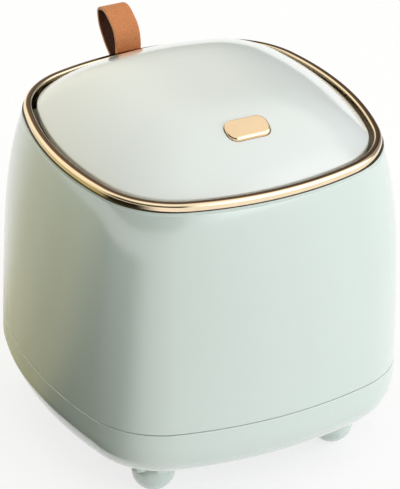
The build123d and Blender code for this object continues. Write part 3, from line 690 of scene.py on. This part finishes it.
class BIN_OT_finishes(bpy.types.Operator):
    """Make the shared shader groups and the bin's finishes"""

    bl_idname = "bin.finishes"
    bl_label = "Finishes"

    def execute(self, context):
        settings = context.scene.bin_finish
        tone = {name: tuple(getattr(settings, name)) for name in BinFinishColours.__annotations__}
        for name, build in SHARED_GROUPS.items():
            GROUPS[name] = build()
        for finish in (
            gloss_plastic("body_plastic", tone["body"]),
            gloss_plastic("lid_plastic", tone["lid"]),
            gold_plating("gold_plating", tone["gold"]),
            ring_plating("ring_plating", tone["ring"], tone["gold_deep"]),
            frame_plastic("frame_plastic", tone["body"], tone["frame_deep"], SHELL_HIGH.z),
            leather("leather_face", tone["leather_face"], 900.0, 0.42, 0.6, 0.12 * MM),
            leather("leather_back", tone["leather_back"], 1500.0, 0.7, 0.9, 0.2 * MM),
            leather("leather_edge", tone["leather_edge"], 1800.0, 0.4, 0.55, 0.05 * MM),
            bright_steel("steel", tone["steel"]),
            matt_plastic("liner_plastic", tone["liner"]),
            matt_plastic("bucket_plastic", tone["bucket"]),
        ):
            MATERIALS[finish.name] = finish.material
        other_finish = {"strap": "leather_face", "mouth_frame": "frame_plastic"}
        for row in frame["record"]["subparts"]:
            name = other_finish.get(row["node"], row["material_slot"])
            materials = frame["nodes"][row["node"]].data.materials
            materials.clear()
            materials.append(MATERIALS[name])
        return {"FINISHED"}


# ------------------------------------------------------------------ shell and base pan
def body_ring(bm, inset, z, notched=False, outline_z=None):
    """A ring of the body at a height, drawn in by an inset."""
    outline = body_outline(z if outline_z is None else outline_z).inset(inset)
    notch = bpy.context.scene.bin_body.notch_half_width if notched else 0.0
    return level_ring(bm, outline, z, notch)


def screw_tab(bm, turn, sizes, wall_reach):
    """A tab on a diagonal: round at its inner end, straight to the wall, with a screw hole."""
    radius, reach, low = sizes.boss_radius, sizes.boss_reach, sizes.tab_bottom
    high = low + sizes.tab_thickness
    along = Vector((cos(turn), sin(turn)))
    across = Vector((-along.y, along.x))
    rings = []
    for z, outer in ((low, True), (high, True), (high, False), (low, False)):
        ring = []
        for step in range(TAB_STEPS):
            angle = 2 * pi * (step + 0.5) / TAB_STEPS
            u, v = cos(angle), sin(angle)
            scale = sizes.screw_hole
            if outer:
                scale = radius if u <= 0 else min((wall_reach - reach) / u, radius / abs(v))
            place = along * (reach + scale * u) + across * (scale * v)
            ring.append(bm.verts.new((place.x, place.y, z)))
        rings.append(ring)
    loft(bm, rings, closed=True)


def diagonals():
    """The bearings of the four corners."""
    return [pi / 4 + quarter * pi / 2 for quarter in range(4)]


class BIN_OT_shell(bpy.types.Operator):
    """Make the tapered outer shell with its strap notch and screw tabs"""

    bl_idname = "bin.shell"
    bl_label = "Outer shell"

    def execute(self, context):
        sizes = context.scene.bin_body
        pan = context.scene.bin_pan
        low, top = SHELL_LOW.z, SHELL_HIGH.z
        sill = top - sizes.notch_depth
        soft = sizes.edge_round
        rises = between(low + soft, sill, WALL_STEPS) + between(sill, top - soft, SMALL_STEPS)[1:]
        profile = arc((soft, low + soft), soft, 270, 180, SMALL_STEPS)[:-1]
        profile += [(0.0, z) for z in rises]
        profile += arc((soft, top - soft), soft, 180, 90, SMALL_STEPS)[1:]
        profile += arc((sizes.wall - soft, top - soft), soft, 90, 0, SMALL_STEPS)[:-1]
        profile += [(sizes.wall, z) for z in reversed(rises)]
        profile += arc((sizes.wall - soft, low + soft), soft, 0, -90, SMALL_STEPS)[1:]
        bm = bmesh.new()
        rings = [body_ring(bm, inset, z, notched=True) for inset, z in profile]
        first, last = (len(rings[0]) // 4 + step for step in NOTCH_STEPS)
        notch = range(first, last)
        above_sill = [z > sill - 0.01 * MM for _, z in profile]
        for k, ring in enumerate(rings):
            after = (k + 1) % len(rings)
            bridge(bm, ring, rings[after], notch if above_sill[k] and above_sill[after] else ())
        cut = [ring for ring, above in zip(rings, above_sill) if above]
        for column in (first, last):
            bm.faces.new([ring[column] for ring in cut])
        outer, inner = cut[0], cut[-1]
        for i in notch:
            bm.faces.new((outer[i], outer[i + 1], inner[i + 1], inner[i]))
        seam = body_outline(low)
        mid_wall = seam.corner_centre * sqrt(2) + seam.corner_radius - sizes.wall / 2
        for turn in diagonals():
            screw_tab(bm, turn, pan, mid_wall)
        finish_piece(bm, "shell_surface", "base", ["body_plastic"], "outer_shell")
        return {"FINISHED"}


class BIN_OT_pan(bpy.types.Operator):
    """Make the base pan with its round bottom, spigot, rest rib and screw bosses"""

    bl_idname = "bin.pan"
    bl_label = "Base pan"

    def execute(self, context):
        sizes = context.scene.bin_pan
        soft = context.scene.bin_body.edge_round
        low, high = PAN_LOW.z, sizes.lip_height
        curve, wall, floor = sizes.bottom_round, sizes.wall, PAN_LOW.z + sizes.floor
        profile = arc((curve, low + curve), curve, 270, 180, 20)
        profile += [(0.0, z) for z in between(low + curve, high - soft, 5)[1:]]
        profile += arc((soft, high - soft), soft, 180, 90, SMALL_STEPS)[1:]
        spigot, inner = sizes.spigot_inset, sizes.spigot_inset + sizes.spigot_wall
        spigot_top = PAN_HIGH.z - sizes.boss_rise
        profile += [
            (spigot, high), (spigot, spigot_top - soft), (spigot + soft, spigot_top),
            (inner, spigot_top), (inner, sizes.spigot_root), (wall, sizes.spigot_root),
        ]
        for inset, z in arc((curve, low + curve), curve - wall, 180, 270, 16):
            profile.append((inset, max(z, floor)))
        bm = bmesh.new()
        rings = [body_ring(bm, inset, z, outline_z=SHELL_LOW.z) for inset, z in profile]
        rib, rib_end = sizes.rib_inset, sizes.rib_inset + sizes.rib_width
        rib_top = floor + sizes.rib_height
        for inset, z in ((rib, floor), (rib, rib_top), (rib_end, rib_top), (rib_end, floor)):
            rings.append(body_ring(bm, inset, z, outline_z=RING_HIGH.z))
        loft(bm, rings)
        fan(bm, rings[0], (0, 0, low))
        fan(bm, rings[-1], (0, 0, floor))
        radius, hole, top, bevel = sizes.boss_radius, sizes.screw_hole, PAN_HIGH.z, 0.2 * MM
        hole_end, root = top - sizes.hole_depth, floor - 0.5 * MM
        for turn in diagonals():
            lathe(bm, [
                (0, root), (radius, root), (radius, top - bevel), (radius - bevel, top),
                (hole, top), (hole, hole_end), (0, hole_end),
            ], sizes.boss_reach * cos(turn), sizes.boss_reach * sin(turn))
        finish_piece(bm, "pan_surface", "base", ["body_plastic"], "base_pan")
        return {"FINISHED"}


class BIN_OT_feet(bpy.types.Operator):
    """Make the four ball feet with their flat soles"""

    bl_idname = "bin.feet"
    bl_label = "Feet"

    def execute(self, context):
        sizes = context.scene.bin_foot
        for node in ("foot_front_left", "foot_front_right", "foot_rear_left", "foot_rear_right"):
            low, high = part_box(node)
            x, y = (low.x + high.x) / 2, (low.y + high.y) / 2
            radius, middle = sizes.radius, sizes.centre_height
            start = degrees(asin((low.z - middle) / radius)) + sizes.sole_softness
            end = degrees(asin((high.z - middle) / radius))
            ball = arc((0.0, middle), radius, start, end, 34)
            sole = sqrt(radius**2 - middle**2) - 0.4 * MM
            bm = bmesh.new()
            lathe(bm, [(0, low.z), (sole, low.z), *ball, (0, high.z)], x, y, steps=72)
            name = node.replace("foot", "ball")
            finish_piece(bm, name, "base", ["body_plastic"], node)
        return {"FINISHED"}


# ------------------------------------------------------------------ trim ring
class BIN_OT_ring(bpy.types.Operator):
    """Make the plated ring with its round shoulders and its leg"""

    bl_idname = "bin.ring"
    bl_label = "Trim ring"

    def execute(self, context):
        sizes = context.scene.bin_ring
        bottom = SHELL_HIGH.z + sizes.flange_thickness
        top = RING_HIGH.z
        outer, inner = -sizes.proud, sizes.width - sizes.proud
        soft, wide, tight = 0.25 * MM, sizes.outer_round, sizes.inner_round
        leg = inner - sizes.leg_width
        profile = arc((outer + soft, bottom + soft), soft, 270, 180, SMALL_STEPS)
        profile += arc((outer + wide, top - wide), wide, 180, 90, 14)
        profile += arc((inner - tight, top - tight), tight, 90, 0, 12)
        profile += [(inner, RING_LOW.z), (leg, RING_LOW.z), (leg, bottom)]
        bm = bmesh.new()
        outline = mouth_outline()
        loft(bm, [level_ring(bm, outline.inset(inset), z) for inset, z in profile], closed=True)
        finish_piece(bm, "ring_surface", "cover", ["ring_plating"], "trim_ring")
        return {"FINISHED"}


# ------------------------------------------------------------------ lid and button
class Dome:
    """The lid's upper surface over its outline."""

    def __init__(self, inset, height, base, power):
        self.outline = mouth_outline().inset(inset)
        self.height = height
        self.base = base
        self.power = power

    def level(self, point):
        """The surface's height over a point."""
        return self.base + self.height * (1 - min(1.0, self.outline.share(point)) ** self.power)


def button_centre():
    """The button's middle, seen from above."""
    return ((BUTTON_LOW + BUTTON_HIGH) / 2).xy


def pebble_hit(direction, half_x, half_y, radius):
    """Where a ray from the middle of a rounded rectangle meets its edge."""
    across, along = max(abs(direction.x), 1e-9), max(abs(direction.y), 1e-9)
    reach = half_x / across
    if reach * along > half_y - radius:
        reach = half_y / along
        if reach * across > half_x - radius:
            corner = Vector((half_x - radius, half_y - radius))
            ray = Vector((across, along))
            ahead = ray.normalized().dot(corner)
            reach = ahead + sqrt(ahead**2 - corner.length_squared + radius**2)
            reach /= ray.length
    return direction * reach


def pebble_ring(half_x, half_y, radius, inset, steps=12):
    """Points round a rounded rectangle, as many for every inset."""
    found = []
    corner = Vector((half_x - radius, half_y - radius))
    for quarter in range(4):
        turn = quarter * pi / 2
        side_x = 1 if quarter in (0, 3) else -1
        side_y = 1 if quarter in (0, 1) else -1
        centre = Vector((side_x * corner.x, side_y * corner.y))
        for step in range(steps + 1):
            angle = turn + pi / 2 * step / steps
            found.append(centre + (radius - inset) * Vector((cos(angle), sin(angle))))
        run = corner.x if quarter in (0, 2) else corner.y
        flats = PEBBLE_FLATS[quarter]
        last = found[-1]
        for step in range(1, flats):
            found.append(last + Vector(PEBBLE_HEADINGS[quarter]) * (2 * run * step / flats))
    return found


class BIN_OT_lid(bpy.types.Operator):
    """Make the domed lid with its rounded rim, its button hole and the collar under it"""

    bl_idname = "bin.lid"
    bl_label = "Lid"

    def execute(self, context):
        sizes = context.scene.bin_lid
        button = context.scene.bin_button
        rim_level = LID_LOW.z + sizes.edge_height
        dome = Dome(sizes.inset, sizes.dome_height, rim_level, sizes.dome_power)
        under = Dome(sizes.inset + sizes.wall, sizes.dome_height - sizes.skin, rim_level,
                     sizes.dome_power)
        centre = button_centre()
        rim = dome.outline.samples()

        def hole(margin):
            """The edge of the button's hole, grown by a margin, towards each point of the rim."""
            grown = button.clearance + margin
            return [
                centre + pebble_hit(point - centre, button.length / 2 + grown,
                                    button.width / 2 + grown, button.corner_radius + grown)
                for point, _ in rim
            ]

        bm = bmesh.new()
        soft = sizes.hole_round
        rings = [flat_ring(bm, hole(0.0), sizes.collar_bottom)]
        for margin, drop in arc((soft, soft), soft, 180, 270, SMALL_STEPS):
            rings.append(draped_ring(bm, hole(margin), dome.level, -drop))
        radius = sizes.edge_round
        slopes = [dome.height * dome.power / point.dot(normal) for point, normal in rim]
        shoulders = [(*place, slope, sqrt(1 + slope**2)) for place, slope in zip(rim, slopes)]
        starts = hole(soft)
        ends = [
            point - normal * (radius * (1 - slope / lean))
            for point, normal, slope, lean in shoulders
        ]
        for step in range(1, DOME_STEPS):
            share = 1 - (1 - step / DOME_STEPS) ** 1.25
            points = [start.lerp(end, share) for start, end in zip(starts, ends)]
            rings.append(draped_ring(bm, points, dome.level))
        for step in range(EDGE_STEPS + 1):
            ring = []
            for point, normal, slope, lean in shoulders:
                start = atan2(1, -slope)
                angle = start + (pi - start) * step / EDGE_STEPS
                place = point - normal * (radius + radius * cos(angle))
                z = rim_level + radius * (slope - lean) + radius * sin(angle)
                ring.append(bm.verts.new((place.x, place.y, z)))
            rings.append(ring)
        small = 0.3 * MM
        profile = arc((small, LID_LOW.z + small), small, 180, 270, 3)
        profile += [(sizes.wall, LID_LOW.z), (sizes.wall, rim_level)]
        for inset, z in profile:
            rings.append(level_ring(bm, dome.outline.inset(inset), z))
        collar = hole(sizes.collar_wall)
        inner_rim = [point for point, _ in under.outline.samples()]
        for step in range(1, UNDER_STEPS + 1):
            points = [start.lerp(end, step / UNDER_STEPS) for start, end in zip(inner_rim, collar)]
            rings.append(draped_ring(bm, points, under.level))
        rings.append(flat_ring(bm, collar, sizes.collar_bottom))
        loft(bm, rings, closed=True)
        finish_piece(bm, "lid_surface", "lid", ["lid_plastic"], "lid_cover")
        return {"FINISHED"}


class BIN_OT_button(bpy.types.Operator):
    """Make the plated pebble button with its flange, stem and wedge legs"""

    bl_idname = "bin.button"
    bl_label = "Button"

    def execute(self, context):
        sizes = context.scene.bin_button
        lid = context.scene.bin_lid
        base = LID_LOW.z + lid.edge_height + sizes.proud
        dome = Dome(lid.inset, lid.dome_height, base, lid.dome_power)
        centre = button_centre()

        def outline(inset):
            """Points round the button, drawn in by an inset."""
            ring = pebble_ring(sizes.length / 2, sizes.width / 2, sizes.corner_radius, inset)
            return [centre + point for point in ring]

        bm = bmesh.new()
        flange_top = lid.collar_bottom - 0.3 * MM
        flange_bottom = flange_top - sizes.flange_height
        margin, soft = -sizes.flange_margin, sizes.edge_round
        rings = [
            flat_ring(bm, outline(inset), z)
            for inset, z in ((margin, flange_bottom), (margin, flange_top), (0.0, flange_top))
        ]
        for inset, rise in arc((soft, 0.0), soft, 180, 90, 10):
            rings.append(draped_ring(bm, outline(inset), dome.level, rise - soft))
        for inset in between(soft, sizes.corner_radius - 0.1 * MM, 6)[1:]:
            rings.append(draped_ring(bm, outline(inset), dome.level))
        loft(bm, rings)
        fan(bm, rings[0], (*centre, flange_bottom))
        fan(bm, rings[-1], (*centre, dome.level(centre)))
        low, stem, bevel = BUTTON_LOW.z, sizes.stem_radius, 0.2 * MM
        stem_top = flange_bottom + 0.5 * MM
        lathe(bm, [(0, low), (stem - bevel, low), (stem, low + bevel), (stem, stem_top),
                   (0, stem_top)], *centre)
        front, rear = centre.y + sizes.leg_front, BUTTON_HIGH.y
        tip, leg_top = low + sizes.leg_rise, flange_bottom + 0.8 * MM
        heel = front + sizes.leg_tip
        slant_end = tip + rear - heel
        leg = [(front, leg_top), (front, tip), (heel, tip), (rear, slant_end), (rear, leg_top)]
        for side in (-1, 1):
            ends = [
                [bm.verts.new((side * x, y, z)) for y, z in leg]
                for x in (sizes.leg_inner, sizes.leg_outer)
            ]
            bridge(bm, *ends)
            bm.faces.new(ends[0])
            bm.faces.new(ends[1])
        finish_piece(bm, "button_surface", "button", ["gold_plating"],
                     "push_button")
        return {"FINISHED"}


# ------------------------------------------------------------------ carrying strap
def rounded_path(points, radius, steps=10):
    """A line through points in the YZ plane, with its inner corners rounded."""
    path = [points[0]]
    for before, corner, after in zip(points, points[1:], points[2:]):
        back, ahead = (before - corner).normalized(), (after - corner).normalized()
        half = back.angle(ahead) / 2
        middle = corner + (back + ahead).normalized() * (radius / sin(half))
        run = radius / tan(half)
        start, end = corner + back * run, corner + ahead * run
        for step in range(steps + 1):
            spoke = (start - middle).lerp(end - middle, step / steps).normalized()
            path.append(middle + spoke * radius)
    path.append(points[-1])
    return path


def smooth_path(points, first, last, steps=10):
    """A smooth line through points, with its first and last directions given."""
    gaps = [(b - a).length for a, b in zip(points, points[1:])]
    headings = [first.normalized()]
    for i in range(1, len(points) - 1):
        before = (points[i] - points[i - 1]) / gaps[i - 1]
        after = (points[i + 1] - points[i]) / gaps[i]
        headings.append((before * gaps[i] + after * gaps[i - 1]) / (gaps[i] + gaps[i - 1]))
    headings.append(last.normalized())
    path = []
    for i, gap in enumerate(gaps):
        a, b = points[i], points[i + 1]
        va, vb = headings[i] * gap, headings[i + 1] * gap
        for step in range(steps):
            t = step / steps
            path.append(a * (2 * t**3 - 3 * t**2 + 1) + va * (t**3 - 2 * t**2 + t)
                        + b * (3 * t**2 - 2 * t**3) + vb * (t**3 - t**2))
    path.append(points[-1])
    return path


class BIN_OT_strap(bpy.types.Operator):
    """Make the leather pull loop that rises behind the ring"""

    bl_idname = "bin.strap"
    bl_label = "Strap"

    def execute(self, context):
        sizes = context.scene.bin_strap
        thickness, bend, rise_y = sizes.thickness, sizes.bend, sizes.rise_y
        ring_bottom = SHELL_HIGH.z + context.scene.bin_ring.flange_thickness
        front_y = STRAP_LOW.y + thickness / 2
        back_y = front_y + thickness + sizes.ply_gap
        front_turn = ring_bottom - sizes.front_turn_drop
        back_turn = ring_bottom - sizes.back_turn_drop
        front = rounded_path([
            Vector((front_y, STRAP_LOW.z)),
            Vector((front_y, front_turn)),
            Vector((rise_y, front_turn + sizes.front_turn_height)),
            Vector((rise_y, RING_HIGH.z)),
        ], bend)
        back = rounded_path([
            Vector((rise_y + sizes.back_turn_reach, back_turn + sizes.back_turn_height)),
            Vector((back_y, back_turn)),
            Vector((back_y, STRAP_LOW.z)),
        ], bend)
        loop = [
            Vector((rise_y + sizes.loop_reach * y, RING_HIGH.z + sizes.loop_height * z))
            for y, z in zip(sizes.loop_y, sizes.loop_z)
        ]
        crown = smooth_path([front[-1], *loop, back[0]], front[-1] - front[-2], back[1] - back[0])
        path = front[:-1] + crown + back[1:]
        section = pebble_ring(sizes.width / 2, thickness / 2, sizes.edge_round, 0.0, steps=5)
        bm = bmesh.new()
        rings = []
        for i, place in enumerate(path):
            heading = (path[min(i + 1, len(path) - 1)] - path[max(i - 1, 0)]).normalized()
            outwards = Vector((-heading.y, heading.x))
            ring = []
            for point in section:
                spot = place + outwards * point.y
                ring.append(bm.verts.new((point.x, spot.x, spot.y)))
            rings.append(ring)
        face, back_side, edge = range(3)
        sides = []
        for i, point in enumerate(section):
            after = section[(i + 1) % len(section)]
            level = (point.y + after.y) / thickness
            # the back side takes the darker flesh tone with painted shade from inside the loop
            sides.append(face if level > 0.86 else back_side if level < -0.86 else edge)
        for lower, upper in zip(rings, rings[1:]):
            bridge(bm, lower, upper, materials=sides)
        for ring in (rings[0], rings[-1]):
            bm.faces.new(ring).material_index = edge
        finish_piece(bm, "strap_leather", "cover",
                     ["leather_face", "leather_back", "leather_edge"], "strap")
        return {"FINISHED"}


# ------------------------------------------------------------------ stage
class BinStageSettings(bpy.types.PropertyGroup):
    azimuth: number("Azimuth", "Camera's bearing, in degrees from straight in front", -27.43)
    elevation: number("Elevation", "Camera's height, in degrees above the horizon", 30.36)
    roll: number("Roll", "Camera's roll, in degrees", 1.27)
    distance: length("Distance", "From the camera to its target", 1.609)
    target_height: length("Target height", "Height of the point the camera looks at", 94.1 * MM)
    lens: number("Lens", "Focal length in millimetres", 237.7)
    floor_tone: number("Floor tone", "Reflectance of the floor where it is seen", 0.98)
    bounce_tone: number("Bounce tone", "Reflectance of the floor for light on the bin", 0.9)
    floor_white: number("Floor white", "Share of plain white in the floor where it is seen", 0.75)


STUDIO_SHADE = (0.055, 0.048, 0.026)
STUDIO_ZONES = (                  # colour, bearing, height, and cosines where it starts and is full
    ((0.30, 0.30, 0.31), 128.0, 38.0, 0.45, 0.85),
    ((1.12, 1.06, 0.88), -158.0, 24.0, 0.55, 0.88),
    ((1.02, 1.02, 0.95), 20.0, 88.0, 0.50, 0.78),
    ((2.12, 2.12, 2.18), 40.0, 10.0, 0.60, 0.84),
)
FLAG_STOPS = (                    # bearing, colour, and how much it covers the floor
    (-168.0, (0.62, 0.58, 0.36), 0.0),
    (-142.0, (0.62, 0.58, 0.36), 0.9),
    (-118.0, (0.52, 0.48, 0.26), 1.0),
    (-96.0, (0.01, 0.01, 0.002), 1.0),
    (-66.0, (0.01, 0.01, 0.002), 1.0),
    (-36.0, (0.20, 0.20, 0.17), 0.0),
)
FLAG_REACH = (0.105, 0.95)        # from the bin's middle to the flag's near and far edges
FLAG_LIFT = 0.4 * MM              # above the floor
FLAG_STEPS = 30
FLOOR_REACH = 12.0
CENTRE_OFFSET = (1.24, 5.43)      # pixels from the frame's middle to the lens axis
FRAME_HEIGHT = 489                # pixels


def look_frame(azimuth, elevation, roll=0.0):
    """Right, up and back directions of a camera that looks at the bin."""
    a, e, r = radians(azimuth), radians(elevation), radians(roll)
    back = Vector((sin(a) * cos(e), -cos(a) * cos(e), sin(e)))
    right = Vector((cos(a), sin(a), 0.0))
    up = back.cross(right)
    return right * cos(r) + up * sin(r), up * cos(r) - right * sin(r), back


def shown_rays(tree):
    """1 for camera, mirror and see-through rays, and 0 for light that falls on the object."""
    path = tree.nodes.new("ShaderNodeLightPath")
    total = path.outputs["Is Camera Ray"]
    for label in ("Is Glossy Ray", "Is Transmission Ray"):
        total = calculate(tree, "MAXIMUM", total, path.outputs[label])
    return total


def dull_material(name):
    """A dull material for the stage, with its tree and its shader."""
    material = bpy.data.materials.new(name)
    material.use_nodes = True
    shader = material.node_tree.nodes["Principled BSDF"]
    shader.inputs["Roughness"].default_value = 0.9
    shader.inputs["Specular IOR Level"].default_value = 0.1
    return material, material.node_tree, shader


def stage_object(name, corners, faces, material):
    """A mesh of the stage, which isn't part of the bin."""
    mesh = bpy.data.meshes.new(name)
    mesh.from_pydata(corners, [], faces)
    mesh.materials.append(material)
    thing = bpy.data.objects.new(name, mesh)
    bpy.context.scene.collection.objects.link(thing)
    return thing


def bearing_ramp(tree, stops):
    """Colours and coverings round the bin, by the bearing of a place on the floor."""
    turned = wire(tree, "ShaderNodeMapping", "Vector", rotation=Vector((0.0, 0.0, pi)),
                  vector=wire(tree, "ShaderNodeTexCoord", "Object"))
    radial = tree.nodes.new("ShaderNodeTexGradient")
    radial.gradient_type = "RADIAL"
    tree.links.new(turned, radial.inputs["Vector"])
    ramp = tree.nodes.new("ShaderNodeValToRGB")
    ramp.color_ramp.interpolation = "EASE"
    while len(ramp.color_ramp.elements) < len(stops):
        ramp.color_ramp.elements.new(0.5)
    for element, (bearing, tone, cover) in zip(ramp.color_ramp.elements, stops):
        element.position = 0.5 + (bearing + 90) / 360
        element.color = (*tone, cover)
    tree.links.new(radial.outputs["Fac"], ramp.inputs["Fac"])
    return ramp.outputs["Color"], ramp.outputs["Alpha"]


def studio_flag():
    """Makes the graded flag on the floor beside the bin, which only the bin sees from above."""
    material, tree, shader = dull_material("graded_flag")
    tone, cover = bearing_ramp(tree, FLAG_STOPS)
    tree.links.new(tone, shader.inputs["Base Color"])
    above = calculate(tree, "SUBTRACT", 1.0, wire(tree, "ShaderNodeNewGeometry", "Backfacing"))
    tree.links.new(calculate(tree, "MULTIPLY", above, cover), shader.inputs["Alpha"])
    corners = []
    for bearing in between(FLAG_STOPS[0][0], FLAG_STOPS[-1][0], FLAG_STEPS):
        across, along = sin(radians(bearing)), -cos(radians(bearing))
        corners += [(reach * across, reach * along, FLAG_LIFT) for reach in FLAG_REACH]
    faces = [(2 * i, 2 * i + 1, 2 * i + 3, 2 * i + 2) for i in range(FLAG_STEPS)]
    flag = stage_object("graded_flag", corners, faces, material)
    flag.visible_camera = False
    flag.visible_shadow = False


def zone_mask(tree, heading, towards, start, end):
    """1 for headings near a direction and 0 for those away from it, with a soft border."""
    dot = tree.nodes.new("ShaderNodeVectorMath")
    dot.operation = "DOT_PRODUCT"
    feed(tree, dot.inputs[0], heading)
    feed(tree, dot.inputs[1], towards)
    border = tree.nodes.new("ShaderNodeMapRange")
    border.interpolation_type = "SMOOTHSTEP"
    for label, entry in (("Value", dot.outputs["Value"]), ("From Min", start), ("From Max", end)):
        feed(tree, border.inputs[label], entry)
    return border.outputs["Result"]


class BIN_OT_stage(bpy.types.Operator):
    """Make the pale floor, the soft studio light and the camera"""

    bl_idname = "bin.stage"
    bl_label = "Stage"

    def execute(self, context):
        scene = context.scene
        settings = scene.bin_stage
        self.make_floor(settings)
        studio_flag()
        self.make_world(scene)
        self.make_camera(scene, settings)
        scene.view_settings.view_transform = "Standard"
        return {"FINISHED"}

    def make_floor(self, settings):
        """A pale floor that is nearly white where it is seen, and keeps the bin's shadow."""
        material, tree, shader = dull_material("pale_floor")
        seen = shown_rays(tree)
        tone = mix_colour(tree, seen, (settings.bounce_tone,) * 3, (settings.floor_tone,) * 3)
        tree.links.new(tone, shader.inputs["Base Color"])
        glow = tree.nodes.new("ShaderNodeEmission")
        mix = tree.nodes.new("ShaderNodeMixShader")
        tree.links.new(calculate(tree, "MULTIPLY", seen, settings.floor_white), mix.inputs[0])
        tree.links.new(shader.outputs[0], mix.inputs[1])
        tree.links.new(glow.outputs[0], mix.inputs[2])
        tree.links.new(mix.outputs[0], tree.nodes["Material Output"].inputs["Surface"])
        signs = ((-1, -1), (1, -1), (1, 1), (-1, 1))
        corners = [(x * FLOOR_REACH, y * FLOOR_REACH, 0.0) for x, y in signs]
        stage_object("floor", corners, [(0, 1, 2, 3)], material)

    def make_world(self, scene):
        """White where the camera looks, and dark and bright zones where the bin looks."""
        world = bpy.data.worlds.new("studio")
        scene.world = world
        world.use_nodes = True
        tree = world.node_tree
        heading = wire(tree, "ShaderNodeTexCoord", "Generated")
        studio = STUDIO_SHADE
        for tone, azimuth, elevation, start, end in STUDIO_ZONES:
            towards = look_frame(azimuth, elevation)[2]
            studio = mix_colour(tree, zone_mask(tree, heading, towards, start, end), studio, tone)
        camera_ray = wire(tree, "ShaderNodeLightPath", "Is Camera Ray")
        shown = mix_colour(tree, camera_ray, studio, (1.0, 1.0, 1.0))
        tree.links.new(shown, tree.nodes["Background"].inputs["Color"])

    def make_camera(self, scene, settings):
        """A camera at the photo's angle, with its frame shifted as the photo's is."""
        data = bpy.data.cameras.new("photo_camera")
        data.sensor_width = 36.0
        data.lens = settings.lens
        data.shift_x, data.shift_y = (offset / FRAME_HEIGHT for offset in CENTRE_OFFSET)
        data.clip_end = 60.0
        camera = bpy.data.objects.new("photo_camera", data)
        scene.collection.objects.link(camera)
        right, up, back = look_frame(settings.azimuth, settings.elevation, settings.roll)
        place = Vector((0, 0, settings.target_height)) + back * settings.distance
        turn = Matrix((right, up, back)).transposed().to_4x4()
        camera.matrix_world = Matrix.Translation(place) @ turn
        scene.camera = camera


# ------------------------------------------------------------------ sidebar and running
class BIN_PT_sidebar(bpy.types.Panel):
    """Buttons that make the bin's surfaces and its stage"""

    bl_idname = "BIN_PT_sidebar"
    bl_label = "Countertop bin"
    bl_space_type = "VIEW_3D"
    bl_region_type = "UI"
    bl_category = "Bin"

    def draw(self, context):
        for operator in OPERATORS:
            self.layout.operator(operator.bl_idname)


SETTINGS = {                      # name on the scene, and its group of settings
    "bin_body": BinBodySizes,
    "bin_pan": BinPanSizes,
    "bin_foot": BinFootSizes,
    "bin_ring": BinRingSizes,
    "bin_lid": BinLidSizes,
    "bin_button": BinButtonSizes,
    "bin_strap": BinStrapSizes,
    "bin_finish": BinFinishColours,
    "bin_stage": BinStageSettings,
}
OPERATORS = (
    BIN_OT_finishes,
    BIN_OT_shell,
    BIN_OT_pan,
    BIN_OT_feet,
    BIN_OT_ring,
    BIN_OT_lid,
    BIN_OT_button,
    BIN_OT_strap,
    BIN_OT_stage,
)
CLASSES = (*SETTINGS.values(), *OPERATORS, BIN_PT_sidebar)


def register():
    for cls in CLASSES:
        bpy.utils.register_class(cls)
    for name, group in SETTINGS.items():
        setattr(bpy.types.Scene, name, bpy.props.PointerProperty(type=group))


def unregister():
    for name in SETTINGS:
        delattr(bpy.types.Scene, name)
    for cls in reversed(CLASSES):
        bpy.utils.unregister_class(cls)


def main():
    """Makes all the pieces in order."""
    register()
    for operator in OPERATORS:
        group, name = operator.bl_idname.split(".")
        getattr(getattr(bpy.ops, group), name)()


if __name__ == "__main__":
    main()
